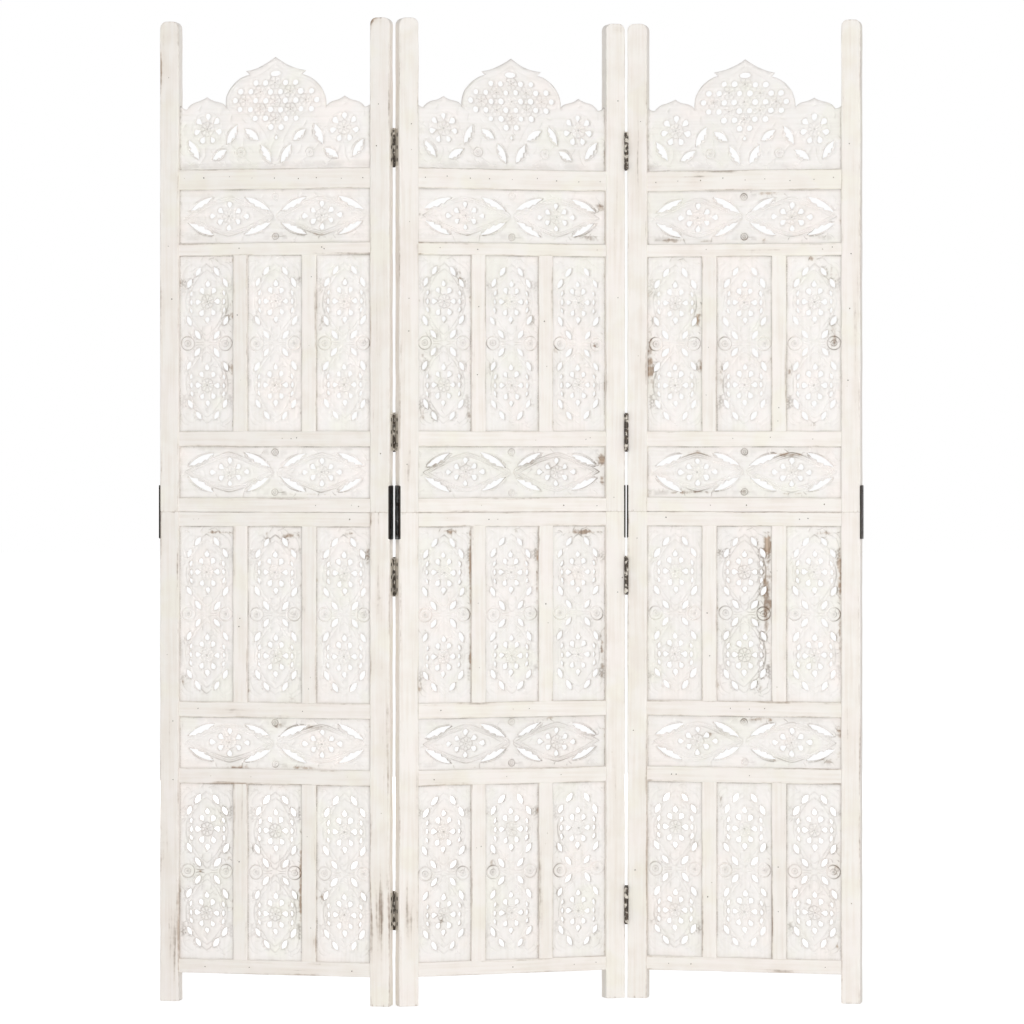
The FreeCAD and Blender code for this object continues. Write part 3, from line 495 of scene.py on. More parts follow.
# Per-panel paleness of the frame: painted light and shade for the different light on each panel.
PANEL_FRAME_LIGHTING = {"left": 0.995, "middle": 0.985, "right": 1.0}
ARC_STEPS = 4
NEAR_EDGE = 3.0
NEAR_EDGE_SHARE = 0.3
STATION_STEP = 7.0
LEAST_STEP = 0.05
FACE_WANDER = 0.28
END_STEPS = 5
CORNERS = ((1, 1), (-1, 1), (-1, -1), (1, -1))
FACE_WAVE = 170.0
EDGE_WAVE = 120.0
EDGE_WANDER = 0.55
ARC_END_WEAR = 0.8
NEAR_WEAR = 0.12
END_WEAR = 0.9
END_WEAR_REACH = 1.2
GRAIN_START = 9.0
BAR_TONES = (0.985, 1.015)


def end_distances(radius):
    """Distances from a rounded end at which rings are needed."""
    return radius * (1 - np.cos(np.linspace(0, math.pi / 2, END_STEPS)))


def rounding(distance, radius):
    """How far a rounded end draws in at a distance from its tip."""
    if radius == 0:
        return np.zeros_like(distance)
    left = np.clip(radius - distance, 0, radius)
    return radius - np.sqrt(radius**2 - left**2)


def bar_stations(length, end_ease, top_round):
    """Places along a bar, closer together at its rounded ends."""
    even = np.linspace(0, length, int(length / STATION_STEP) + 2)
    low = end_distances(end_ease)
    high = length - np.concatenate([end_distances(end_ease), end_distances(top_round)])
    places = np.unique(np.round(np.concatenate([even, low, high]), 3))
    keep = np.concatenate([[True], np.diff(places) > LEAST_STEP])
    return places[keep]


def worn_bar(length, wide, deep, name, end_ease=0.0, top_round=0.0):
    """A bar along its first axis from 0, with its section about the other two."""
    seed = seed_of(name)
    places = bar_stations(length, end_ease, top_round)
    from_end = np.minimum(places, length - places)
    draw_in = rounding(from_end, end_ease)
    reaches = []
    for side, half in enumerate((wide / 2, deep / 2, wide / 2, deep / 2)):
        reach = half - draw_in + FACE_WANDER * (wander(places, seed + side, FACE_WAVE) - 0.5)
        if side in (0, 2):
            reach = reach - rounding(length - places, top_round)
        reaches.append(reach)
    rings = []
    edge = []
    for corner, (first, second) in enumerate(CORNERS):
        radius = EDGE_RADIUS * (1 + EDGE_WANDER * wander(places, seed + 10 + corner, EDGE_WAVE))
        across = reaches[0] if first > 0 else reaches[2]
        through = reaches[1] if second > 0 else reaches[3]
        for step in range(ARC_STEPS + 1):
            angle = math.pi / 2 * (corner + step / ARC_STEPS)
            rings.append(
                np.stack(
                    [
                        places,
                        first * (across - radius) + radius * math.cos(angle),
                        second * (through - radius) + radius * math.sin(angle),
                    ],
                    axis=1,
                )
            )
            edge.append(ARC_END_WEAR if step in (0, ARC_STEPS) else 1.0)
    with_faces = []
    layers_edge = []
    per_corner = ARC_STEPS + 1
    for corner in range(4):
        arc = rings[corner * per_corner:(corner + 1) * per_corner]
        following = rings[(corner + 1) % 4 * per_corner]
        with_faces += arc
        layers_edge += edge[corner * per_corner:(corner + 1) * per_corner]
        span = np.linalg.norm(following - arc[-1], axis=1)[:, None]
        share = np.minimum(NEAR_EDGE / span, NEAR_EDGE_SHARE)
        for part, value in ((share, NEAR_WEAR), (0.5, 0.0), (1 - share, NEAR_WEAR)):
            with_faces.append(arc[-1] + (following - arc[-1]) * part)
            layers_edge.append(value)
    around = len(with_faces)
    points = np.stack(with_faces, axis=1).reshape(-1, 3)
    worn = np.tile(np.array(layers_edge), (len(places), 1))
    at_end = (from_end < END_WEAR_REACH * end_ease)[:, None]
    worn = np.where(at_end, np.maximum(worn, END_WEAR), worn).ravel()
    faces = []
    for station in range(len(places) - 1):
        for slot in range(around):
            beside = (slot + 1) % around
            low, high = station * around, (station + 1) * around
            faces.append([low + slot, low + beside, high + beside, high + slot])
    faces.append(list(range(around))[::-1])
    faces.append([len(points) - around + slot for slot in range(around)])
    return points, faces, worn


def bar_part(name, length, wide, deep, start, lying=False, **ends):
    """A worn bar set in its panel: standing on its start, or lying to the right of it."""
    points, faces, worn = worn_bar(length, wide, deep, name, **ends)
    along, across, through = points.T
    draw = np.random.default_rng(seed_of(name) + 99)
    own_grain = points * MM + draw.uniform(-GRAIN_START, GRAIN_START, 3)
    placed = (along, through, across) if lying else (across, through, along)
    points = np.stack(placed, axis=1) + np.array(start)
    layers = {
        "grain": own_grain,
        "worn": worn,
        "dirt_and_shade": np.zeros(len(points)),
        "bare": np.zeros(len(points)),
        # A panel factor of painted light and shade, times the bar's own random paleness.
        "tone_and_light": np.full(len(points), PANEL_FRAME_LIGHTING[name.split("_")[0]] * draw.uniform(*BAR_TONES)),
    }
    return {"points": points, "faces": faces, "layers": layers}


sample = worn_bar(300, STILE_WIDTH, STILE_THICKNESS, "sample", end_ease=1.5)
print("a 300 mm bar has", len(sample[0]), "points")

# %% [markdown]
# Some places of the frame have been rubbed to the wood, mostly where hands and brooms reach:
# the stile corners and the lower right post of the left panel. They are soft ovals, each given
# by its middle and its reach across and up, in the panel's millimetres.

# %% Rubbed places on the frame
FRAME_WEAR = {
    "left": [
        (182, 150, 14, 90, 0.55),
        (190, 420, 10, 120, 0.35),
        (-178, 90, 12, 80, 0.4),
        (184, 700, 10, 70, 0.35),
        (176, 1100, 8, 160, 0.3),
        (-80, 370, 30, 10, 0.35),
        (178, 568, 9, 14, 0.4),
        (172, 812, 12, 9, 0.35),
        (-190, 260, 7, 40, 0.35),
        (-164, 150, 5, 70, 0.4),
        (-185, 440, 12, 50, 0.2),
        (-69, 488, 24, 8, 0.4),
        (-62, 315, 8, 25, 0.3),
        (66, 105, 8, 14, 0.35),
        (-20, 372, 50, 5, 0.25),
        (30, 52, 60, 5, 0.3),
        (-196, 1575, 6, 36, 0.5),
        (-185, 1622, 12, 9, 0.35),
        (172, 1645, 10, 6, 0.7),
        (-188, 1180, 12, 50, 0.25),
        (164, 1140, 4, 50, 0.45),
    ],
    "middle": [
        (-178, 160, 14, 55, 0.45),
        (184, 330, 10, 160, 0.3),
        (-190, 1150, 8, 200, 0.3),
        (188, 1330, 8, 120, 0.35),
        (-120, 372, 50, 8, 0.3),
        (90, 500, 60, 6, 0.25),
        (-185, 895, 10, 40, 0.3),
        (60, 150, 8, 90, 0.25),
        (35, 56, 40, 7, 0.3),
        (-164, 1250, 5, 40, 0.3),
        (-62, 1100, 9, 40, 0.2),
        (185, 1640, 12, 6, 0.35),
    ],
    "right": [
        (-163, 230, 5, 150, 0.5),
        (-190, 620, 8, 120, 0.35),
        (184, 480, 10, 140, 0.35),
        (-184, 1420, 10, 90, 0.35),
        (40, 1266, 60, 6, 0.3),
        (70, 500, 50, 7, 0.3),
        (-175, 1070, 10, 40, 0.3),
        (-80, 1385, 18, 14, 0.3),
        (194, 1150, 4, 200, 0.3),
        (-90, 1266, 40, 8, 0.25),
        (60, 52, 50, 6, 0.25),
    ],
}


def rub_frame(panel, part):
    """Adds the rubbed places of a panel to a bar's bare layer."""
    across, _, up = part["points"].T
    for middle, height, reach, rise, strength in FRAME_WEAR[panel]:
        fall = np.exp(-(((across - middle) / reach) ** 2) - ((up - height) / rise) ** 2)
        part["layers"]["bare"] += strength * fall


def show_bars(panel, node, parts):
    """Rubs the bars of one node and shows them as a piece of planed wood."""
    for part in parts:
        rub_frame(panel, part)
    mesh = closed_mesh(f"{node}_wood", parts)
    mesh.materials.append(frame_wood)
    show(mesh, f"{node}_wood", panel, [node], poses[panel])


print(sum(len(spots) for spots in FRAME_WEAR.values()), "rubbed places on the frame")

# %% [markdown]
# A stile that carries hinges has its leaves let into the wood, so beside them its edge comes
# out nearly to their faces and leaves only a narrow gap between two panels. The edge face in
# that gap is painted lighter, as painted light against the shade that falls in the gap.

# %% Stiles
STILE_END_EASE = 1.2
STILE_FULLNESS = 0.8
HINGED_STILES = ("left_right", "middle_left", "middle_right", "right_left")
LEAF_LET_IN = 1.1
# The outer edge face of a hinged stile is painted lighter: painted light against the shade in the gap between
# panels.
GAP_EDGE_LIGHTENING = 1.08
GAP_EDGE_REACH = 0.7


def make_stile(panel, section, side):
    """One post of a section, with a rounded horn at the top of an upper one."""
    node = f"{panel}_{section}_{side}_stile"
    bottom = SECTION_BOTTOM[section]
    top = STILE_TOP if section == "upper" else SEAM
    outward = -1 if side == "left" else 1
    hinged = f"{panel}_{side}" in HINGED_STILES
    fuller = LEAF_LET_IN if hinged else 0.0
    middle = outward * (STILE_MIDDLE + fuller / 2)
    part = bar_part(
        node, top - bottom, STILE_WIDTH + STILE_FULLNESS + fuller, STILE_THICKNESS, (middle, 0, bottom),
        end_ease=STILE_END_EASE, top_round=STILE_TOP_RADIUS if section == "upper" else 0.0,
    )
    # Painted light on the edge face in the gap.
    if hinged:
        reach = outward * part["points"][:, 0]
        part["layers"]["tone_and_light"][reach > reach.max() - GAP_EDGE_REACH] *= GAP_EDGE_LIGHTENING
    show_bars(panel, node, [part])


for panel in PANELS:
    for section in COURSES:
        for side in ("left", "right"):
            make_stile(panel, section, side)
print("stiles made, 4 for each panel")

# %% [markdown]
# Rails lie between the stiles and muntins stand between the tall boards. On the real screen
# tenons hold them, which nobody sees, so here each bar only runs a little way into its
# neighbour. They are the same worn bars as the stiles, laid down or stood up.

# %% Rails and muntins


def make_rails(panel, section):
    """The rails of a section, each housed a little in the stiles."""
    node = f"{panel}_{section}_rails"
    parts = []
    for kind, bottom, top in stack(section):
        if kind == "rail":
            start = (-OPENING / 2 - HOUSED, 0, (bottom + top) / 2)
            length = OPENING + 2 * HOUSED
            name = f"{node}_{bottom:.0f}"
            parts.append(bar_part(name, length, top - bottom, RAIL_THICKNESS, start, lying=True))
    show_bars(panel, node, parts)


def make_muntins(panel, section):
    """The two posts between the boards of each tall row."""
    node = f"{panel}_{section}_muntins"
    parts = []
    for kind, bottom, top in stack(section):
        if kind.endswith("tall_boards"):
            for side in (-1, 1):
                start = (side * TALL_PITCH / 2, 0, bottom - HOUSED)
                name = f"{node}_{bottom:.0f}_{side}"
                length = top - bottom + 2 * HOUSED
                parts.append(bar_part(name, length, MUNTIN_WIDTH, MUNTIN_THICKNESS, start))
    show_bars(panel, node, parts)


for panel in PANELS:
    for section in COURSES:
        make_rails(panel, section)
        make_muntins(panel, section)
print("rails and muntins made")

# %% [markdown]
# The boards are carved before they are pierced. The carver's gouge leaves V-shaped cuts, so a
# pattern is a list of strokes: a path on the board, the width of the cut and its depth. Rings,
# bows and flowers are small functions that give such strokes.

# %% Strokes of the gouge


def bow(first, last, bulge=0.0, count=9):
    """A path between two points that bulges to its left."""
    first, last = np.array(first, float), np.array(last, float)
    share = np.linspace(0, 1, count)[:, None]
    aside = np.array([first[1] - last[1], last[0] - first[0]])
    aside /= np.hypot(*aside)
    return first + (last - first) * share + aside * bulge * 4 * share * (1 - share)


def ring(centre, radius, lobes=0, swing=0.0, count=33):
    """A closed path round a point, scalloped where it has lobes."""
    turn = np.linspace(0, 2 * math.pi, count)
    reach = radius + swing * np.abs(np.cos(lobes * turn / 2))
    return np.array(centre) + np.stack([reach * np.cos(turn), reach * np.sin(turn)], axis=1)


def flower(centre, radius, petals=8):
    """A rosette: an eye with a pit, petals and a scalloped edge."""
    strokes = [
        (ring(centre, 0.36 * radius, count=17), 2.2, 1.0),
        (ring(centre, 0.95 * radius, petals, 0.12 * radius, count=49), 3.2, 1.5),
        (ring(centre, 0.5, count=7), 2.6, 2.2),
    ]
    for petal in range(petals):
        angle = (petal + 0.5) * 2 * math.pi / petals
        way = np.array([math.cos(angle), math.sin(angle)])
        strokes.append((bow(centre + 0.45 * radius * way, centre + 0.92 * radius * way, count=4), 2.6, 1.4))
    return strokes


def boss(centre, radius):
    """A ring with a dot in it."""
    return [
        (ring(centre, radius, count=29), 2.8, 1.7),
        (ring(centre, 0.45 * radius, count=17), 2.0, 1.1),
        (ring(centre, 0.4, count=7), 2.4, 2.0),
    ]


def nicks(name, middle, half_width, half_height, count):
    """Short slips of the gouge, scattered over a board's ground."""
    draw = np.random.default_rng(seed_of(name))
    strokes = []
    for _ in range(count):
        place = np.array(middle) + draw.uniform(-1, 1, 2) * np.array([half_width, half_height])
        angle = draw.uniform(0, math.pi)
        reach = draw.uniform(1.5, 4.0) * np.array([math.cos(angle), math.sin(angle)])
        path = bow(place - reach, place + reach, draw.uniform(-0.8, 0.8), count=4)
        strokes.append((path, draw.uniform(1.8, 2.8), draw.uniform(0.5, 1.0)))
    return strokes


def mirrored(strokes, ways):
    """Every stroke in each of the given ways, as signs across and up."""
    return [
        (path * np.array(way), width, depth)
        for path, width, depth in strokes
        for way in ways
    ]


QUARTERS = ((1, 1), (-1, 1), (1, -1), (-1, -1))
HALVES = ((1, 1), (-1, 1))
print("a flower has", len(flower((0, 0), 11)), "strokes")

# %% [markdown]
# The piercings come in four shapes: a plain leaf, a leaf toothed along one side, a drop and a
# round hole. Each is an outline in a unit square, so that one cutter serves every size. A hole
# is its shape, its place, the angle of its long axis, its length and its width.

# %% Shapes and places of the piercings
SHAPES = ("plain_leaf", "toothed_leaf", "drop", "round")
TEETH = 4
FLANK_ASIDE = 2.4
FLANK_SHARE = 0.46
FLANK_CUT = (2.8, 1.5)


def unit_outline(shape):
    """A closed outline, one unit long and wide, anticlockwise."""
    if shape == "round":
        return ring((0, 0), 0.5, count=13)[:-1]
    if shape == "drop":
        turn = np.linspace(math.radians(70), math.radians(290), 10)
        heel = np.stack([0.36 * np.cos(turn) - 0.14, 0.5 * np.sin(turn)], axis=1)
        return np.concatenate([[(0.5, 0.0)], heel])
    share = np.linspace(-0.5, 0.5, 17 if shape == "toothed_leaf" else 8)
    belly = 0.5 * (1 - (2 * share) ** 2)
    lower = np.stack([share, -belly], axis=1)
    if shape == "toothed_leaf":
        saw = (share * TEETH + 0.5) % 1.0
        belly = belly * (0.5 + 0.7 * saw)
    upper = np.stack([share, belly], axis=1)[::-1]
    return np.concatenate([lower, upper[1:-1]])


def outline_of(hole, margin=0.0):
    """A hole's outline on its board, grown by a margin."""
    shape, across, up, angle, length, width = hole
    points = unit_outline(shape) * np.array([length + 2 * margin, width + 2 * margin])
    cos, sin = math.cos(angle), math.sin(angle)
    return points @ np.array([[cos, sin], [-sin, cos]]) + np.array([across, up])


def mirrored_angle(degrees, across, upward):
    """The angle of a hole in radians after mirroring it."""
    angle = math.radians(degrees)
    return math.atan2(upward * math.sin(angle), across * math.cos(angle))


def leaf_flanks(holes):
    """Two light cuts beside every leaf-shaped hole, as its veined edges."""
    strokes = []
    for shape, across, up, angle, length, width in holes:
        if shape.endswith("leaf"):
            way = np.array([math.cos(angle), math.sin(angle)])
            aside = np.array([-way[1], way[0]])
            for side in (-1, 1):
                middle = np.array([across, up]) + side * aside * FLANK_ASIDE
                ends = (middle - way * FLANK_SHARE * length, middle + way * FLANK_SHARE * length)
                strokes.append((bow(*ends, bulge=side * width / 2), *FLANK_CUT))
    return strokes


print("outline points:", {shape: len(unit_outline(shape)) for shape in SHAPES})

# %% [markdown]
# A tall board has two oval medallions, each a flower in a ring of drops and slits, with crossed
# leaves and ringed bosses between them. All four quarters mirror one another, so only one is
# written down: its holes in shares of the board's half width and half height, and its cuts in
# millimetres.

# %% Pattern of a tall board
DROP = (11.5, 9.0)
SLIT = (11.0, 5.5)
TALL_LEAF = (18.0, 8.8)
TALL_HEIGHT = 295.0
MEDALLION = 0.475


def tall_holes():
    """Two oval medallions with crossed leaves between them."""
    half_width, half_height = TALL_FIELD / 2, TALL_HEIGHT / 2
    holes = []
    for across, upward in QUARTERS:
        for share, rise, degrees in (
            (0.36, 0.10, 52),
            (0.34, MEDALLION + 0.346, -55),
            (0.66, MEDALLION + 0.215, -62),
            (0.68, MEDALLION - 0.217, 62),
        ):
            place = (across * share * half_width, upward * rise * half_height)
            holes.append(("plain_leaf", *place, mirrored_angle(degrees, across, upward), *TALL_LEAF))
        for rise, degrees in ((0.098, -72), (0, 90), (-0.098, 72)):
            place = (across * 0.6 * half_width, upward * (MEDALLION + rise) * half_height)
            holes.append(("plain_leaf", *place, mirrored_angle(degrees, across, upward), *SLIT))
        for share, rise in ((0.2, 0.118), (0.34, 0), (0.2, -0.118)):
            place = (across * share * half_width, upward * (MEDALLION + rise) * half_height)
            inward = math.atan2(upward * MEDALLION * half_height - place[1], -place[0])
            holes.append(("drop", *place, inward, *DROP))
    for upward in (-1, 1):
        for rise in (0.21, -0.21):
            height = upward * (MEDALLION + rise) * half_height
            holes.append(("drop", 0.0, height, math.copysign(math.pi / 2, rise * upward), *DROP))
    return holes


def tall_strokes(holes):
    """Ogee straps round each medallion, flowers, ringed bosses and leaves."""
    middle = MEDALLION * TALL_HEIGHT / 2
    share = np.linspace(0, 1, 41)
    swell = np.sin(math.pi * share)
    outer = np.stack([36.5 * swell**0.8, 5 + 129 * share], axis=1)
    inner = np.stack([31 * swell**0.75, 14 + 110 * share], axis=1)
    quarter = [
        (outer, 3.8, 1.0),
        (inner, 3.4, 0.9),
        (bow((2, 4), (8, 27), -2), 2.4, 1.1),
        (bow((6, 2.6), (18, 2.6), -1), 2.2, 1.1),
        (bow((43, 28), (43, 50), 6), 3.0, 0.6),
        (bow((24, 134), (42, 112), 5), 3.0, 0.6),
        (bow((33, 137), (43, 128), 2), 3.0, 0.6),
    ]
    quarter += [(bow((40.5, 88 + 6 * step), (43.5, 91 + 6 * step)), 1.8, 1.0) for step in range(4)]
    quarter += flower((0, middle), 11.0)
    return mirrored(quarter, QUARTERS) + mirrored(boss((33, 0), 11.5), HALVES) + leaf_flanks(holes)


TALL_HOLES = tall_holes()
TALL_STROKES = tall_strokes(TALL_HOLES) + nicks("tall", (0, 0), TALL_FIELD / 2, TALL_HEIGHT / 2, 90)
print("tall board:", len(TALL_HOLES), "holes,", len(TALL_STROKES), "strokes")

# %% [markdown]
# A frieze is a wide board with two eye-shaped motifs side by side. Four long toothed leaves
# close each eye, and three bands run round it and meet their neighbours at the board's middle.

# %% Pattern of a frieze
FRIEZE_HEIGHT = 86.0
FRIEZE_LEAF = (49.0, 10.8)
FRIEZE_MOTIF = 0.484
FRIEZE_TILT = -26


def frieze_holes():
    """Two eye-shaped motifs, each of eight drops round a flower and four long leaves."""
    half_width, half_height = OPENING / 2, FRIEZE_HEIGHT / 2
    holes = []
    for side in (-1, 1):
        middle = side * FRIEZE_MOTIF * half_width
        for across in (-1, 1):
            end = middle + 0.174 * half_width * across
            holes.append(("drop", end, 0.0, mirrored_angle(180, across, 1), *DROP))
            holes.append(("drop", middle, 0.42 * half_height * across, -across * math.pi / 2, *DROP))
            for upward in (-1, 1):
                step, rise = 0.087 * half_width * across, 0.2 * half_height * upward
                holes.append(("drop", middle + step, rise, math.atan2(-rise, -step), *DROP))
                place = (middle + 0.295 * half_width * across, 0.477 * half_height * upward)
                angle = mirrored_angle(FRIEZE_TILT, across, upward)
                teeth_inward = angle if across * upward < 0 else angle + math.pi
                holes.append(("toothed_leaf", *place, teeth_inward, *FRIEZE_LEAF))
    return holes


def frieze_strokes(holes):
    """Bands that cross between the motifs, flowers, small bosses and gouged hatching."""
    middle = FRIEZE_MOTIF * OPENING / 2
    share = np.linspace(-1, 1, 41)
    lift = 1 - np.abs(share) ** 1.35
    half = [
        (np.stack([middle + 76 * share, 33 * lift], axis=1), 3.2, 1.2),
        (np.stack([middle + 71 * share, 29.5 * lift], axis=1), 2.6, 0.8),
        (np.stack([middle + 66 * share, 26 * lift], axis=1), 3.2, 1.0),
    ]
    hatch = [
        (bow((x, 31 + 2 * (number % 3)), (x + 1.5, 38)), 1.6, 0.6)
        for number, x in enumerate((12, 18, 134, 140, 145, 151))
    ]
    quarter = half + hatch + [(bow((3, 2), (14, 10), 1.5), 1.9, 1.2)]
    flowers = mirrored(flower((middle, 0), 11.0), HALVES)
    bosses = mirrored(boss((0, 34), 5.5), QUARTERS[::2])
    return mirrored(quarter, QUARTERS) + flowers + bosses + leaf_flanks(holes)


FRIEZE_HOLES = frieze_holes()
FRIEZE_STROKES = frieze_strokes(FRIEZE_HOLES) + nicks("frieze", (0, 0), OPENING / 2, FRIEZE_HEIGHT / 2, 110)
print("frieze:", len(FRIEZE_HOLES), "holes,", len(FRIEZE_STROKES), "strokes")

# %% [markdown]
# The crest is a board with an ogee top. Its outline has only the points where the saw changes
# direction, joined by bows and one round dome, and the right half mirrors the left.

# %% Outline and pattern of the crest
CREST_LONG_LEAF = (37.0, 12.5)
CREST_SHORT_LEAF = (30.0, 12.0)
LATTICE_HOLE = (10.5, 9.5)
APEX_HOLE = (20.0, 9.5)
RING_DROP = (13.0, 10.0)
LATTICE_CELLS = 3
LATTICE_TOP = 0.775 * CREST_HEIGHT
CREST_FIELD = 161.0
LATTICE_COLUMN = 0.055 * CREST_FIELD
LATTICE_ROW = 0.0797 * CREST_HEIGHT
LOBE_FLOWER = (0.735 * CREST_FIELD, 0.364 * CREST_HEIGHT)
RING_DROPS = 7
RING_RADIUS = 19.0
CELL_FLOWER = 10.4
FOOT_LINES = (4.5, 8.5)
FOOT_LINE_REACH = 163
CREST_CELLS = [
    (3 * (first - second), first + second)
    for first in range(LATTICE_CELLS)
    for second in range(LATTICE_CELLS)
]


def round_through(first, over, last, count=17):
    """Points of the circle's arc through three points."""
    (ax, ay), (bx, by), (cx, cy) = first, over, last
    turn = 2 * (ax * (by - cy) + bx * (cy - ay) + cx * (ay - by))
    squares = (ax**2 + ay**2, bx**2 + by**2, cx**2 + cy**2)
    x = (squares[0] * (by - cy) + squares[1] * (cy - ay) + squares[2] * (ay - by)) / turn
    y = (squares[0] * (cx - bx) + squares[1] * (ax - cx) + squares[2] * (bx - ax)) / turn
    angles = np.linspace(math.atan2(ay - y, ax - x), math.atan2(cy - y, cx - x), count)
    radius = math.hypot(ax - x, ay - y)
    return np.stack([x + radius * np.cos(angles), y + radius * np.sin(angles)], axis=1)


def crest_outline():
    """The crest's edge, anticlockwise from its lower left corner in the groove."""
    edge = OPENING / 2 + HOUSED
    corner, notch, lobe, valley = (OPENING / 2, 109), (154, 102), (119, 121), (86.5, 104)
    outer_lobe, inner_lobe = (138.5, 113.5), (101, 113.5)
    dome, shoulder, hook, apex = (83.5, 126), (45.5, 159), (52, 165), (0, CREST_HEIGHT)
    right = [
        np.array([(edge, -HOUSED), (edge, 50.0), (edge, 107.0)]),
        bow(corner, notch, 2, count=4),
        bow(notch, outer_lobe, -2, count=5),
        bow(outer_lobe, lobe, 1.2, count=6),
        bow(lobe, inner_lobe, 1.2, count=6),
        bow(inner_lobe, valley, -2, count=5),
        round_through(valley, dome, shoulder),
        bow(hook, apex, 4, count=8),
    ]
    right = np.concatenate(right)
    steps = np.concatenate([[True], np.linalg.norm(np.diff(right, axis=0), axis=1) > 0.2])
    right = right[steps]
    left = (right * np.array([-1, 1]))[::-1][1:]
    foot = np.linspace(-edge, edge, 40)[1:-1]
    return np.concatenate([right, left, np.stack([foot, np.full(len(foot), -HOUSED)], axis=1)])


def crest_holes():
    """A honeycomb of holes in the dome, leaves below, and a ring of drops in each lobe."""
    holes = []
    sites = set()
    for across, down in CREST_CELLS:
        sites.update(((across - 2, down), (across + 2, down)))
        sites.update((across + side, down + step) for side in (-1, 1) for step in (-1, 1))
    for across, down in sorted(sites):
        if down >= 0:
            place = (across * LATTICE_COLUMN, LATTICE_TOP - down * LATTICE_ROW)
            holes.append(("round", *place, 0.0, *LATTICE_HOLE))
    holes.append(("round", 0.0, LATTICE_TOP + LATTICE_ROW, 0.0, *APEX_HOLE))
    for side in (-1, 1):
        for size, share, rise, degrees in (
            (CREST_LONG_LEAF, 0.106, 0.14, 62),
            (CREST_SHORT_LEAF, 0.252, 0.31, 36),
            (CREST_LONG_LEAF, 0.462, 0.31, -64),
            (CREST_SHORT_LEAF, 0.602, 0.135, -34),
            (CREST_LONG_LEAF, 0.885, 0.18, 56),
        ):
            angle = mirrored_angle(degrees, side, 1)
            outer_teeth = angle + math.pi if side > 0 else angle
            place = (side * share * CREST_FIELD, rise * CREST_HEIGHT)
            holes.append(("toothed_leaf", *place, outer_teeth, *size))
        for step in range(RING_DROPS):
            angle = math.pi / 2 + step * 2 * math.pi / RING_DROPS
            place = (
                side * LOBE_FLOWER[0] + RING_RADIUS * math.cos(angle),
                LOBE_FLOWER[1] + RING_RADIUS * math.sin(angle),
            )
            holes.append(("drop", *place, angle + math.pi, *RING_DROP))
    holes.append(("drop", 0.0, 54.0, math.pi / 2, 8.0, 6.0))
    return holes


def crest_strokes(holes):
    """Rosettes in the honeycomb's cells, a strap round the dome, vines and bosses."""
    strokes = []
    for across, down in CREST_CELLS:
        place = (across * LATTICE_COLUMN, LATTICE_TOP - down * LATTICE_ROW)
        strokes += flower(place, CELL_FLOWER, petals=6)
    dome = round_through((79, 106), (77.5, 126), (42, 152.5))
    half = [
        (dome, 3.6, 0.6),
        (bow((42, 152.5), (0, 176), 3), 3.2, 0.6),
        (bow((79, 104), (12, 46), -12), 3.0, 0.7),
        (bow((2, 8), (26, 40), -5), 2.6, 0.9),
        (bow((30, 6), (88, 62), -8), 2.8, 0.8),
        (bow((84, 6), (112, 34), -4), 2.6, 0.9),
        (bow((132, 6), (121, 34), 3), 2.6, 0.9),
        (ring(LOBE_FLOWER, 27.5, count=41), 3.4, 0.6),
    ]
    half += flower(LOBE_FLOWER, 11.5) + boss((59, 28), 8.0)
    lines = [
        (bow((-FOOT_LINE_REACH, height), (FOOT_LINE_REACH, height), count=40), 1.8, 1.0)
        for height in FOOT_LINES
    ]
    return mirrored(half, HALVES) + strokes + lines + leaf_flanks(holes)


CREST_HOLES = crest_holes()
CREST_STROKES = crest_strokes(CREST_HOLES) + nicks("crest", (0, 55), OPENING / 2, 55, 90)
print("crest:", len(CREST_HOLES), "holes,", len(CREST_STROKES), "strokes")

# %% [markdown]
# A fine even grid would need millions of faces to show a cut two millimetres wide. Instead the
# face of a board gets points only where they are needed: down the middle of each cut, along
# both its shoulders, round every hole, and thinly between. A Delaunay triangulation joins them
# into a sheet, and the depth of the cuts is then read at each point.

# %% From strokes to a sheet of triangles
RIM_WIDTH = 2.8
RIM_EASE = 2.2
POINT_STEP = 2.2
GROUND_STEP = 5.0
CELL = 2.6
HOLE_STEP = 2.0
# Rows of points for the painted shadow lines at the frame's edge.
SEEN_EDGE_STEP = 4.0
SEEN_EDGE_GAPS = (-0.6, 0.9, 2.4)
HOLE_GAP, SHOULDER_GAP, SHADOW_LINE_GAP, CUT_GAP, GROUND_GAP = 0.6, 0.9, 0.8, 1.0, 2.5
RIM_CUT = 0.5


def resampled(path, step):
    """The same path with even steps."""
    lengths = np.concatenate([[0], np.cumsum(np.linalg.norm(np.diff(path, axis=0), axis=1))])
    places = np.linspace(0, lengths[-1], max(2, int(lengths[-1] / step) + 1))
    return np.stack([np.interp(places, lengths, path[:, axis]) for axis in (0, 1)], axis=1)


def offset(path, distance):
    """A path moved to its left by a distance."""
    way = np.gradient(path, axis=0)
    way /= np.linalg.norm(way, axis=1)[:, None] + 1e-9
    return path + distance * np.stack([-way[:, 1], way[:, 0]], axis=1)


def inside(outline, points):
    """Which points lie inside a closed outline, by counting crossings."""
    result = np.zeros(len(points), bool)
    across, up = points.T
    for (x0, y0), (x1, y1) in zip(outline, np.roll(outline, -1, axis=0)):
        if y0 != y1:
            crosses = (y0 > up) != (y1 > up)
            result ^= crosses & (across < (x1 - x0) * (up - y0) / (y1 - y0) + x0)
    return result


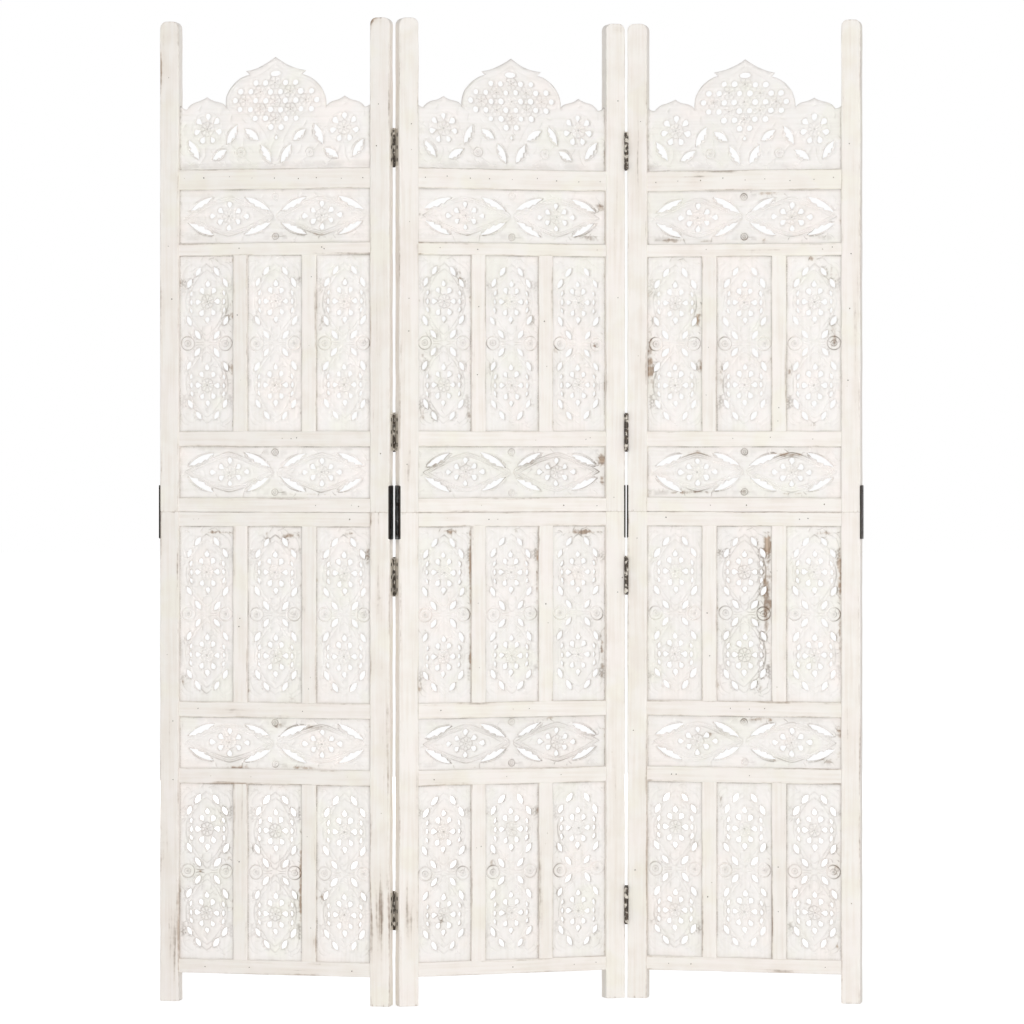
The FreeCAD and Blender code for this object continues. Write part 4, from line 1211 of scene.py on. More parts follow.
def thinned(groups):
    """Points of each group that keep their group's gap from all points before them."""
    kept = []
    ranks = []
    cells = {}
    for rank, (points, gap) in enumerate(groups):
        for x, z in points:
            column, row = int(x // CELL), int(z // CELL)
            near = [
                cells[key]
                for key in ((column + a, row + b) for a in (-1, 0, 1) for b in (-1, 0, 1))
                if key in cells
            ]
            if all((x - p) ** 2 + (z - q) ** 2 > gap**2 for cell in near for p, q in cell):
                cells.setdefault((column, row), []).append((x, z))
                kept.append((x, z))
                ranks.append(rank)
    return np.array(kept), np.array(ranks)


def cut_depth(points, strokes):
    """How deep the deepest stroke has cut at each point."""
    depth = np.zeros(len(points))
    for path, width, deep in strokes:
        starts, along = path[:-1], np.diff(path, axis=0)
        share = ((points[:, None] - starts) * along).sum(2) / ((along**2).sum(1) + 1e-9)
        nearest = starts + np.clip(share, 0, 1)[:, :, None] * along
        gap = np.sqrt(((points[:, None] - nearest) ** 2).sum(2).min(1))
        depth = np.maximum(depth, deep * np.clip(1 - gap / (width / 2), 0, 1))
    return depth


def ground_points(border):
    """An even scatter over a board's face, in offset rows."""
    low, high = border.min(0), border.max(0)
    columns = np.arange(low[0] + 2, high[0] - 1, GROUND_STEP)
    rows = np.arange(low[1] + 2, high[1] - 1, GROUND_STEP)
    return np.array(
        [(x + (index % 2) * GROUND_STEP / 2, z) for index, z in enumerate(rows) for x in columns]
    )


def carved_sheet(border, strokes, holes, eased_border=False, shadow_line_paths=()):
    """A triangulated face with the depth and the rim share of each point."""
    rims = [outline_of(hole) for hole in holes]
    paths = [(resampled(path, POINT_STEP), width) for path, width, _ in strokes]
    around = [resampled(np.vstack([rim, rim[:1]]), HOLE_STEP) for rim in rims]
    shoulders = [offset(path, side * width / 2) for path, width in paths for side in (-1, 1)]
    groups = [(border, 0.0), (np.concatenate(around), HOLE_GAP)]
    if eased_border:
        groups.append((offset(border, RIM_WIDTH), SHOULDER_GAP))
    # Rows of points where the painted shadow lines run.
    groups += [(line, SHADOW_LINE_GAP) for line in shadow_line_paths]
    groups += [
        (np.concatenate([outline_of(hole, RIM_WIDTH) for hole in holes]), SHOULDER_GAP),
        (np.concatenate([path for path, _ in paths]), CUT_GAP),
        (np.concatenate(shoulders), SHOULDER_GAP),
        (ground_points(border), GROUND_GAP),
    ]
    points, ranks = thinned(groups)
    within = inside(border, points) | (ranks == 0)
    points, ranks = points[within], ranks[within]
    outline = list(range(int((ranks == 0).sum())))
    corners, _, faces, sources, _, _ = delaunay_2d_cdt(
        [Vector(point) for point in points], [], [outline], 1, 1e-5
    )
    corners = np.array([tuple(corner) for corner in corners])
    ranks = np.array([ranks[source[0]] if source else len(groups) for source in sources])
    rim = (ranks == 1).astype(float)
    if eased_border:
        rim[ranks == 0] = 1.0
    for outline_points in rims:
        rim[inside(outline_points, corners)] = 1.0
    depth = np.maximum(cut_depth(corners, strokes) * (1 - RIM_CUT * rim), RIM_EASE * rim)
    return {
        "points": corners, "triangles": np.array(faces), "depth": depth, "rim": rim, "holes": holes
    }


def rectangle(width, height, step=8.0):
    """The edge of a board, housed in its grooves, as a closed path."""
    half_width, half_height = width / 2 + HOUSED, height / 2 + HOUSED
    corners = [(-half_width, -half_height), (half_width, -half_height),
               (half_width, half_height), (-half_width, half_height)]
    sides = [resampled(np.array([corners[k], corners[(k + 1) % 4]]), step)[:-1] for k in range(4)]
    return np.concatenate(sides)


def seen_edges(width, height):
    """Closed paths on both sides of the frame's edge, where the painted shadow lines start and end."""
    return [
        rectangle(width - 2 * (HOUSED + gap), height - 2 * (HOUSED + gap), SEEN_EDGE_STEP)
        for gap in SEEN_EDGE_GAPS
    ]


SHEETS = {
    "tall": carved_sheet(
        rectangle(TALL_FIELD, TALL_HEIGHT), TALL_STROKES, TALL_HOLES,
        shadow_line_paths=seen_edges(TALL_FIELD, TALL_HEIGHT),
    ),
    "frieze": carved_sheet(
        rectangle(OPENING, FRIEZE_HEIGHT + 4), FRIEZE_STROKES, FRIEZE_HOLES,
        shadow_line_paths=seen_edges(OPENING, FRIEZE_HEIGHT),
    ),
    "crest": carved_sheet(crest_outline(), CREST_STROKES, CREST_HOLES, eased_border=True),
}
for kind, sheet in SHEETS.items():
    print(f"{kind} sheet: {len(sheet['points'])} points, {len(sheet['triangles'])} triangles")

# %% [markdown]
# Hands, cloths and brooms have rubbed the boards too, mostly along their right edges and in
# strips by the rails. On the middle panel the spots at the boards' right edges are partly painted
# shadow, where the frame shades the board. A rubbed place is a soft oval given by its middle,
# its reach and its strength. The board's middle is 0 and its edges are 1 away, so a place reads
# as a share.

# %% Rubbed places on the boards
BOARD_WEAR = {
    ("left", 960, -1): [
        (0.9, 0.35, 0.15, 0.15, 0.45), (0.9, -0.3, 0.15, 0.2, 0.4), (0.6, 0.95, 0.4, 0.06, 0.4),
    ],
    ("left", 960, 0): [(0.8, 0.8, 0.15, 0.06, 0.3)],
    ("left", 960, 1): [(-0.85, 0.3, 0.15, 0.3, 0.35), (0.9, -0.2, 0.1, 0.15, 0.3)],
    ("left", 1276, 0): [
        (0.4, -0.75, 0.2, 0.2, 0.5), (-0.75, -0.75, 0.2, 0.15, 0.35), (0, -0.8, 0.1, 0.2, 0.3),
    ],
    ("left", 848, 0): [
        (0.15, -0.8, 0.1, 0.1, 0.6), (0.45, -0.84, 0.2, 0.08, 0.7), (-0.45, -0.8, 0.15, 0.12, 0.4),
        (-0.15, 0.75, 0.2, 0.2, 0.35),
    ],
    ("left", 505, -1): [
        (0.3, 0.93, 0.4, 0.025, 1.0), (-0.85, -0.78, 0.12, 0.06, 0.7), (-0.1, -0.9, 0.15, 0.04, 0.45),
        (0.8, 0.85, 0.15, 0.1, 0.4),
    ],
    ("left", 505, 0): [
        (-0.3, 0.9, 0.1, 0.04, 0.95), (0.55, 0.9, 0.4, 0.04, 0.85), (0.95, 0.3, 0.08, 0.1, 0.6),
        (0.6, -0.97, 0.15, 0.03, 0.6),
    ],
    ("left", 505, 1): [(0.25, 0.92, 0.3, 0.025, 0.75), (0.85, 0.7, 0.1, 0.15, 0.4)],
    ("left", 393, 0): [
        (-0.4, -0.93, 0.15, 0.08, 0.9), (0.27, -0.93, 0.15, 0.08, 0.9), (0.05, 0.7, 0.1, 0.15, 0.7),
        (0.4, 0.65, 0.15, 0.15, 0.5), (-0.5, -0.6, 0.15, 0.2, 0.4),
    ],
    ("left", 72, -1): [
        (-0.25, 0, 0.08, 0.02, 0.9), (0.8, 0.7, 0.15, 0.1, 0.4), (0.8, 0.15, 0.1, 0.1, 0.4),
    ],
    ("left", 72, 0): [(0.94, -0.3, 0.08, 0.3, 0.9), (0.97, 0.2, 0.05, 0.5, 0.8)],
    ("left", 72, 1): [(-0.8, -0.3, 0.1, 0.15, 0.4), (0.9, -0.9, 0.1, 0.08, 0.5)],
    # Spots at the boards' right edges on this panel are partly painted shadow beside the frame.
    ("middle", 960, -1): [
        (0.6, 0.75, 0.15, 0.08, 0.45), (-0.8, -0.82, 0.15, 0.08, 0.6), (-0.4, -0.85, 0.1, 0.08, 0.4),
        (0.9, -0.8, 0.1, 0.12, 0.4), (-0.8, -0.15, 0.15, 0.1, 0.4),
    ],
    ("middle", 960, 0): [
        (0.8, 0.2, 0.1, 0.1, 0.55), (-0.85, -0.3, 0.12, 0.15, 0.4), (0.1, -0.95, 0.3, 0.03, 0.5),
    ],
    ("middle", 960, 1): [(-0.85, -0.1, 0.1, 0.1, 0.45), (0.6, -0.02, 0.1, 0.02, 0.8)],
    ("middle", 1276, 0): [
        (0.95, 0.4, 0.05, 0.2, 0.9), (0.8, -0.75, 0.15, 0.2, 0.6), (-0.35, -0.75, 0.4, 0.08, 0.45),
    ],
    ("middle", 848, 0): [
        (-0.55, 0.9, 0.25, 0.05, 0.6), (0.25, 0.9, 0.1, 0.06, 0.6), (0.96, 0.5, 0.05, 0.3, 1.2),
        (0.97, -0.3, 0.03, 0.25, 0.95), (-0.8, 0.3, 0.2, 0.3, 0.35), (0.3, 0.3, 0.3, 0.3, 0.35),
    ],
    ("middle", 505, -1): [
        (0.15, 0.94, 0.38, 0.025, 1.0), (0.96, 0.6, 0.06, 0.4, 1.1), (0.97, -0.4, 0.04, 0.5, 0.8),
        (-0.9, -0.8, 0.1, 0.08, 0.7),
    ],
    ("middle", 505, 0): [
        (-0.4, 0.95, 0.15, 0.03, 0.45), (0.2, 0.95, 0.15, 0.03, 0.5), (0.95, 0.5, 0.05, 0.4, 0.7),
    ],
    ("middle", 505, 1): [(0.15, 0.93, 0.6, 0.03, 1.2), (0.9, -0.45, 0.08, 0.3, 0.8)],
    ("middle", 393, 0): [
        (0.4, 0.95, 0.1, 0.06, 0.8), (-0.45, -0.9, 0.2, 0.08, 0.4), (0.45, -0.88, 0.2, 0.08, 0.55),
    ],
    ("middle", 72, -1): [(0.6, 0.05, 0.15, 0.05, 0.4), (-0.1, -0.55, 0.1, 0.08, 0.4)],
    ("middle", 72, 0): [(-0.75, 0.1, 0.08, 0.1, 0.65)],
    ("middle", 72, 1): [(-0.85, 0.1, 0.1, 0.45, 0.55), (0.7, -0.8, 0.1, 0.08, 0.45)],
    ("right", 960, -1): [
        (0.3, 0.96, 0.4, 0.03, 0.5), (-0.88, -0.2, 0.12, 0.4, 0.85), (0.85, 0.3, 0.1, 0.15, 0.8),
        (0.9, -0.25, 0.1, 0.12, 0.6),
    ],
    ("right", 960, 0): [(-0.85, -0.4, 0.1, 0.2, 0.6)],
    ("right", 960, 1): [
        (-0.1, 0.97, 0.15, 0.03, 1.0), (0.6, 0.8, 0.3, 0.1, 0.5), (0.7, 0.1, 0.15, 0.15, 0.6),
        (-0.9, -0.4, 0.08, 0.2, 0.6), (-0.2, -0.93, 0.5, 0.025, 0.6),
    ],
    ("right", 1276, 0): [
        (0.25, 0.88, 0.15, 0.07, 0.9), (-0.75, -0.85, 0.15, 0.1, 0.9), (-0.4, -0.9, 0.1, 0.06, 0.6),
        (0.0, 0.78, 0.04, 0.14, 0.45), (0.0, -0.78, 0.04, 0.14, 0.4),
        (0.3, -0.85, 0.25, 0.08, 0.7), (0.8, -0.8, 0.1, 0.1, 0.5),
    ],
    ("right", 848, 0): [
        (-0.5, 0.75, 0.15, 0.12, 0.7), (0.45, 0.7, 0.2, 0.12, 0.8), (-0.6, -0.8, 0.25, 0.08, 0.9),
        (0.0, 0.78, 0.04, 0.14, 0.45), (0.0, -0.78, 0.04, 0.14, 0.45),
        (0.5, -0.85, 0.2, 0.06, 0.6),
    ],
    ("right", 505, 0): [
        (0.85, 0.8, 0.15, 0.12, 1.0), (0.8, 0.2, 0.2, 0.6, 0.8), (0.6, -0.85, 0.15, 0.06, 0.6),
    ],
    ("right", 505, 1): [
        (0.4, 0.92, 0.35, 0.03, 0.95), (0.92, 0.5, 0.1, 0.35, 1.0), (0.92, -0.2, 0.08, 0.25, 0.8),
    ],
    ("right", 393, 0): [
        (0.2, 0.88, 0.2, 0.08, 1.1), (0.97, 0.5, 0.03, 0.25, 1.0), (0.97, -0.4, 0.03, 0.2, 0.8),
        (0.85, -0.7, 0.08, 0.1, 0.6), (-0.35, 0.3, 0.08, 0.15, 0.6), (0.35, -0.75, 0.15, 0.1, 0.5),
    ],
    ("right", 72, 0): [(-0.85, 0.8, 0.08, 0.06, 0.6), (0.9, 0.1, 0.06, 0.2, 0.5)],
    ("right", 72, 1): [(0.8, 0.05, 0.12, 0.15, 0.6), (0.85, -0.85, 0.08, 0.05, 0.8)],
}
print(sum(len(spots) for spots in BOARD_WEAR.values()), "rubbed places on", len(BOARD_WEAR), "boards")

# %% [markdown]
# One sheet serves every board of its kind, but no two boards come out alike: each is warped a
# little across its face, cut deeper here and lighter there, and rubbed to the wood in its own
# places. Front and back sheets with a wall between them make a closed slab.

# %% From a sheet to a board
CARVER_WANDER = 1.1
CARVER_WAVE = 150.0
DEPTH_WANDER = 0.25
DEPTH_WAVE = 60.0
SWELL = 0.25
SWELL_WAVE = 130.0
BACK_SHARE = 0.85
CUT_DEEPER = 1.15
FLAT_BARE = 0.8
CUT_BARE = 1.05
EDGE_STRIP = 1.1
SOIL_SHARE = 0.35
STRIP_WIDTH = 4.0
# Per-panel paleness of the boards: painted light and shade for the different light on each panel.
PANEL_BOARD_LIGHTING = {"left": 1.025, "middle": 0.98, "right": 1.0}
STRIP_WAVE = 110.0
STRIP_BREAK = 0.25
# Painted shadow lines along a board's edges, where the frame shades it: darkest on the side in shade, weaker
# on the lit side, top and foot.
SHADOW_LINE_WIDTH = 1.3
SHADED_LINE, LIT_LINE, TOP_SHADOW_LINE, FOOT_SHADOW_LINE = 0.95, 0.6, 0.95, 0.35
SHADOW_LINE_LEVEL, SHADOW_LINE_WANDER, SHADOW_LINE_WAVE = 0.8, 0.4, 90.0
LEAST_SOIL, SOIL_RANGE = 0.02, 0.28
SOIL_WANDER, SOIL_WAVE = 0.16, 70.0
SPOT_SOIL = 1.3
RIM_CLEAN = 0.6
CUT_FROM, CUT_SPAN = 0.35, 0.9
# The deepest pits, such as the eyes of the flowers, are painted darker.
PIT_FROM, PIT_SPAN, PIT_DARKENING = 1.7, 0.4, 0.5
MOST_DIRT_AND_SHADE = 0.9
BACK_GRAIN_SHIFT = (0.3, 0, 0)
BOARD_TONES = (0.985, 1.012)


def warped(points, seed):
    """Points of a pattern as a carver's hand set them out."""
    across, up = points.T
    shift = [wander_over(across, up, seed + step, CARVER_WAVE) for step in (0, 5)]
    return points + CARVER_WANDER * np.stack(shift, axis=1)


def board_slab(sheet, name, half_size, middle, spots, upright):
    """A carved board about its middle in the panel, with its painted layers."""
    seed = seed_of(name)
    points = warped(sheet["points"], seed)
    across, up = points.T
    uneven = 1 + DEPTH_WANDER * wander_over(across, up, seed + 11, DEPTH_WAVE)
    depth = CUT_DEEPER * sheet["depth"] * uneven
    swell = SWELL * wander_over(across, up, seed + 17, SWELL_WAVE)
    front = -BOARD_THICKNESS / 2 + depth + swell
    back = BOARD_THICKNESS / 2 - BACK_SHARE * depth + swell
    count = len(points)
    triangles = sheet["triangles"]
    sides = np.concatenate([triangles[:, [0, 1]], triangles[:, [1, 2]], triangles[:, [2, 0]]])
    both_ways = {tuple(side) for side in sides.tolist()}
    rim_sides = [(a, b) for a, b in both_ways if (b, a) not in both_ways]
    walls = [(b, a, a + count) for a, b in sorted(rim_sides)]
    walls += [(b, a + count, b + count) for a, b in sorted(rim_sides)]
    faces = np.concatenate([triangles, triangles[:, ::-1] + count, np.array(walls)])
    places = np.concatenate([np.stack([across, y, up], axis=1) for y in (front, back)])

    draw = np.random.default_rng(seed + 99)
    bare = np.zeros(count)
    soil = np.zeros(count)
    for side in (-1, 1):
        gap = np.clip(half_size[0] - side * across, 0, None)
        come_and_go = np.clip(wander(up, seed + 41 + side, STRIP_WAVE) - STRIP_BREAK, 0, 1)
        bare += EDGE_STRIP * come_and_go * np.exp(-gap / STRIP_WIDTH)
        soil += come_and_go * np.exp(-gap / (3 * STRIP_WIDTH))
    for u, v, reach_u, reach_v, strength in spots:
        fall = ((across / half_size[0] - u) / reach_u) ** 2 + ((up / half_size[1] - v) / reach_v) ** 2
        bare += strength * np.exp(-fall)
        soil += strength * np.exp(-SOIL_SHARE * fall)
    lines = np.zeros(count)
    # Painted shadow lines: stronger at the right edge in the middle panel, at the left in the others, the
    # side in shade.
    shaded = 1 if name.startswith("middle") else -1
    for gap, weight in (
        (half_size[0] - shaded * across, SHADED_LINE),
        (half_size[1] - up, TOP_SHADOW_LINE),
        (half_size[0] + shaded * across, LIT_LINE),
        (up + half_size[1], FOOT_SHADOW_LINE),
    ):
        lines = np.maximum(lines, weight * np.exp(-np.clip(gap, 0, None) / SHADOW_LINE_WIDTH))
    lines *= SHADOW_LINE_LEVEL + SHADOW_LINE_WANDER * wander_over(across, up, seed + 23, SHADOW_LINE_WAVE)
    never_washed = LEAST_SOIL + SOIL_RANGE * draw.uniform(0, 1) ** 3
    patchy = SOIL_WANDER * wander_over(across, up, seed + 29, SOIL_WAVE)
    patch = np.clip(never_washed + patchy + SPOT_SOIL * soil, 0, 1)
    # The dirt_and_shade layer: dark wash in the cuts, painted shadow lines at the edges and darker pits.
    cuts = np.clip((sheet["depth"] - CUT_FROM) / CUT_SPAN, 0, 1) * (1 - RIM_CLEAN * sheet["rim"])
    pits = PIT_DARKENING * np.clip((sheet["depth"] - PIT_FROM) / PIT_SPAN, 0, 1) * (1 - sheet["rim"])
    dirt_and_shade = np.clip(np.maximum.reduce([patch * cuts, lines, pits]), 0, MOST_DIRT_AND_SHADE)
    fibres = np.stack([up, across], axis=1) if upright else points
    fibres = np.concatenate([fibres, np.zeros((count, 1))], axis=1) * MM
    fibres = fibres + draw.uniform(-GRAIN_START, GRAIN_START, 3)
    layers = {
        "grain": np.concatenate([fibres, fibres + np.array(BACK_GRAIN_SHIFT)]),
        "worn": np.tile(sheet["rim"], 2),
        "dirt_and_shade": np.tile(dirt_and_shade, 2),
        "bare": np.tile(bare * (FLAT_BARE + (CUT_BARE - FLAT_BARE) * cuts), 2),
        # A panel factor of painted light and shade, times the board's own random paleness.
        "tone_and_light": np.full(2 * count, PANEL_BOARD_LIGHTING[name.split("_")[0]] * draw.uniform(*BOARD_TONES)),
        "kept": np.ones(2 * count),
    }
    holes = []
    for shape, x, z, angle, length, width in sheet["holes"]:
        moved = warped(np.array([(x, z)]), seed)[0] + np.array([middle[0], middle[1]])
        holes.append((SHAPES.index(shape), *moved, angle, length, width))
    places += np.array([middle[0], 0, middle[1]])
    return {"points": places, "faces": faces.tolist(), "layers": layers}, holes


print("boards are", BOARD_THICKNESS, "mm thick, carved on both faces")

# %% [markdown]
# Piercings repeat, so Geometry Nodes make them. A cloud of pattern points carries each hole's
# shape, angle, length and width; the tree sets a cutter on every point, turns and grows it a
# little at random with a fixed seed, and cuts them all from the slab in one Boolean.

# %% Geometry Nodes: cut the piercings
CUTTER_DEPTH = 40.0
TURN_SPREAD = math.radians(6)
LEAST_GROWTH = 0.94
MOST_GROWTH = 1.12


def node_tree(name, inputs):
    """A Geometry Nodes tree with named inputs, and the identifiers of those inputs."""
    tree = bpy.data.node_groups.new(name, "GeometryNodeTree")
    tree.interface.new_socket("Geometry", in_out="OUTPUT", socket_type="NodeSocketGeometry")
    sockets = {
        label: tree.interface.new_socket(label, in_out="INPUT", socket_type=kind).identifier
        for label, kind in inputs
    }
    return tree, add(tree, "NodeGroupInput").outputs, sockets


def finish_tree(tree, geometry, material):
    """Ends a tree: instances made real, and one material set."""
    real = add(tree, "GeometryNodeRealizeInstances", {0: geometry}).outputs[0]
    coated = add(tree, "GeometryNodeSetMaterial", {"Geometry": real, "Material": material}).outputs[0]
    add(tree, "NodeGroupOutput", {0: coated})


def grown(mesh, tree, sockets, values):
    """Runs a tree on a mesh and gives the result as a plain mesh."""
    carrier = new_object("carrier", mesh)
    modifier = carrier.modifiers.new("tree", "NODES")
    modifier.node_group = tree
    for label, value in values.items():
        modifier[sockets[label]] = value
    graph = bpy.context.evaluated_depsgraph_get()
    result = bpy.data.meshes.new_from_object(carrier.evaluated_get(graph))
    carrier.modifiers.remove(modifier)
    bpy.data.objects.remove(carrier)
    return result


def piercing_tree():
    """The tree that pierces a slab at its pattern points."""
    inputs = [("Slab", "NodeSocketGeometry"), ("Pattern", "NodeSocketObject")]
    inputs += [(f"Cutter {shape}", "NodeSocketObject") for shape in SHAPES]
    inputs += [
        ("Cutter depth", "NodeSocketFloat"),
        ("Turn spread", "NodeSocketFloat"),
        ("Least growth", "NodeSocketFloat"),
        ("Most growth", "NodeSocketFloat"),
        ("Seed", "NodeSocketInt"),
        ("Finish", "NodeSocketMaterial"),
    ]
    tree, given, sockets = node_tree("pierced board", inputs)
    points = add(tree, "GeometryNodeObjectInfo", {"Object": given["Pattern"]}).outputs["Geometry"]
    layer = {
        name: add(tree, "GeometryNodeInputNamedAttribute", {"Name": name}, data_type=kind).outputs[0]
        for name, kind in (("shape", "INT"), ("angle", "FLOAT"), ("length", "FLOAT"), ("width", "FLOAT"))
    }
    least_turn = add(
        tree, "ShaderNodeMath", {0: given["Turn spread"], 1: -1.0}, operation="MULTIPLY"
    ).outputs[0]
    stray = add(
        tree, "FunctionNodeRandomValue",
        {2: least_turn, 3: given["Turn spread"], "Seed": given["Seed"]}, data_type="FLOAT",
    ).outputs[1]
    growth = add(
        tree, "FunctionNodeRandomValue",
        {2: given["Least growth"], 3: given["Most growth"], "Seed": given["Seed"]}, data_type="FLOAT",
    ).outputs[1]
    turn = add(tree, "ShaderNodeMath", {0: stray, 1: layer["angle"]}, operation="SUBTRACT").outputs[0]
    euler = add(tree, "ShaderNodeCombineXYZ", {"Y": turn}).outputs[0]
    rotation = add(tree, "FunctionNodeEulerToRotation", {0: euler}).outputs[0]
    length = add(tree, "ShaderNodeMath", {0: layer["length"], 1: growth}, operation="MULTIPLY").outputs[0]
    width = add(tree, "ShaderNodeMath", {0: layer["width"], 1: growth}, operation="MULTIPLY").outputs[0]
    size = add(tree, "ShaderNodeCombineXYZ", {"X": length, "Y": given["Cutter depth"], "Z": width}).outputs[0]
    cutters = add(tree, "GeometryNodeJoinGeometry")
    for index, shape in enumerate(SHAPES):
        cutter = add(tree, "GeometryNodeObjectInfo", {"Object": given[f"Cutter {shape}"]}).outputs["Geometry"]
        chosen = add(
            tree, "FunctionNodeCompare", {2: layer["shape"], 3: index}, data_type="INT", operation="EQUAL"
        ).outputs[0]
        set_on = add(
            tree, "GeometryNodeInstanceOnPoints",
            {"Points": points, "Selection": chosen, "Instance": cutter, "Rotation": rotation, "Scale": size},
        ).outputs[0]
        tree.links.new(set_on, cutters.inputs[0])
    real = add(tree, "GeometryNodeRealizeInstances", {0: cutters.outputs[0]}).outputs[0]
    cut = add(
        tree, "GeometryNodeMeshBoolean", {"Mesh 1": given["Slab"], "Mesh 2": real},
        operation="DIFFERENCE", solver="MANIFOLD",
    ).outputs[0]
    finish_tree(tree, cut, given["Finish"])
    return tree, sockets


def cutter_object(shape):
    """A prism of one unit with a piercing's outline."""
    outline = unit_outline(shape)
    count = len(outline)
    points = [(x, -0.5, z) for x, z in outline] + [(x, 0.5, z) for x, z in outline]
    faces = [list(range(count)), [count + index for index in range(count)][::-1]]
    faces += [[(i + 1) % count, i, count + i, count + (i + 1) % count] for i in range(count)]
    mesh = bpy.data.meshes.new(f"cutter_{shape}")
    mesh.from_pydata(points, [], faces)
    return new_object(f"cutter_{shape}", mesh)


def pattern_object(holes):
    """Pattern points with each hole's shape, angle and size."""
    mesh = bpy.data.meshes.new("pattern")
    mesh.from_pydata([(x, 0, z) for _, x, z, _, _, _ in holes], [], [])
    columns = list(zip(*holes))
    shape = mesh.attributes.new("shape", "INT", "POINT")
    shape.data.foreach_set("value", list(columns[0]))
    store_layers(mesh, dict(zip(("angle", "length", "width"), map(np.array, columns[3:]))))
    return new_object("pattern", mesh)


PIERCE, PIERCE_SOCKETS = piercing_tree()
CUTTERS = {shape: cutter_object(shape) for shape in SHAPES}
print("piercing tree has", len(PIERCE.nodes), "nodes")

# %% [markdown]
# The Boolean keeps the painted layers of the slab's own points, but the points that it makes
# at the holes' edges start empty. Each of those takes the layers of its nearest neighbour.

# %% Pierce the boards
# Hole walls take a share of the nearest slab point's dark wash and painted shade.
WALL_DIRT_AND_SHADE = 0.22
NO_EDGE = 10 * CREST_HEIGHT  # So far off that the crest gets no dark line at its top or foot.


def fill_new_points(mesh):
    """Gives every point that a cutter made the layers of the nearest slab point."""
    places = np.zeros(3 * len(mesh.vertices), np.float32)
    mesh.vertices.foreach_get("co", places)
    places = places.reshape(-1, 3)
    kept = np.zeros(len(places), np.float32)
    mesh.attributes["kept"].data.foreach_get("value", kept)
    old, new = np.flatnonzero(kept > 0.5), np.flatnonzero(kept < 0.5)
    near = KDTree(len(old))
    for index in old.tolist():
        near.insert(places[index], index)
    near.balance()
    source = np.array([near.find(places[index])[1] for index in new.tolist()], int)
    for name in PAINTED_LAYERS:
        layer = mesh.attributes[name]
        vector = layer.data_type == "FLOAT_VECTOR"
        values = np.zeros(len(places) * (3 if vector else 1), np.float32)
        layer.data.foreach_get("vector" if vector else "value", values)
        values = values.reshape(len(places), -1)
        values[new] = values[source]
        if name == "worn":
            values[new] = 1.0
        if name == "dirt_and_shade":
            values[new] *= WALL_DIRT_AND_SHADE
        layer.data.foreach_set("vector" if vector else "value", values.ravel())
    mesh.attributes.remove(mesh.attributes["kept"])
    return len(new)


def make_boards(panel, node, boards):
    """Pierces the slabs of one node and shows them as a piece."""
    parts = [part for part, _ in boards]
    holes = [hole for _, own in boards for hole in own]
    points, faces, layers = joined(parts)
    slab = bpy.data.meshes.new(f"{node}_slab")
    slab.from_pydata(points.tolist(), [], faces)
    store_layers(slab, layers)
    pattern = pattern_object(holes)
    values = {f"Cutter {shape}": cutter for shape, cutter in CUTTERS.items()}
    values |= {
        "Pattern": pattern,
        "Cutter depth": CUTTER_DEPTH,
        "Turn spread": TURN_SPREAD,
        "Least growth": LEAST_GROWTH,
        "Most growth": MOST_GROWTH,
        "Seed": tree_seed(node),
        "Finish": carved_wood,
    }
    mesh = grown(slab, PIERCE, PIERCE_SOCKETS, values)
    bpy.data.objects.remove(pattern)
    made = fill_new_points(mesh)
    mesh.name = f"{node}_wood"
    show(mesh, f"{node}_wood", panel, [node], poses[panel])
    print(f"{node}: {len(holes)} holes, {len(mesh.polygons)} faces, {made} new points")


for panel in PANELS:
    for section in COURSES:
        friezes = []
        for kind, bottom, top in stack(section):
            middle = (bottom + top) / 2
            if kind.endswith("tall_boards"):
                node = f"{panel}_{kind}"
                boards = []
                for column in (-1, 0, 1):
                    spots = BOARD_WEAR.get((panel, bottom, column), [])
                    boards.append(
                        board_slab(
                            SHEETS["tall"], f"{node}_{column}", (TALL_FIELD / 2, TALL_HEIGHT / 2),
                            (column * TALL_PITCH, middle), spots, upright=True,
                        )
                    )
                make_boards(panel, node, boards)
            elif kind.endswith("frieze"):
                spots = BOARD_WEAR.get((panel, bottom, 0), [])
                friezes.append(
                    board_slab(
                        SHEETS["frieze"], f"{panel}_{kind}_{bottom:.0f}", (OPENING / 2, (top - bottom) / 2),
                        (0, middle), spots, upright=False,
                    )
                )
            elif kind == "crest_board":
                node = f"{panel}_{kind}"
                crest = board_slab(
                    SHEETS["crest"], node, (OPENING / 2, NO_EDGE), (0, bottom), [], upright=False
                )
                make_boards(panel, node, [crest])
        make_boards(panel, f"{panel}_{section}_frieze", friezes)
for cutter in CUTTERS.values():
    bpy.data.objects.remove(cutter)

# %% [markdown]
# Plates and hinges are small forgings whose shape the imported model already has, with bores and
# countersinks. What it lacks is the soft edge of a filed and painted piece. So each is a copy
# of its node: triangles merged, flat faces joined, and every sharp edge bevelled a little. The
# plates are also made a little thicker, let into the wood and widened to just past the stile,
# because on the real screen their edges show as dark bars in the gaps between the panels.

# %% Plates, hinge leaves and pins
IRON_EASE = 0.25 * MM
IRON_SHARP = math.radians(35)
PLATE_SPREAD = 3.1
PLATE_SINK = 0.4
PLATE_PROUD = 0.3
SPREAD_FROM, SPREAD_OVER = 4.0, 3.0
BRUSH_FROM, BRUSH_OVER = 2.0, 10.0


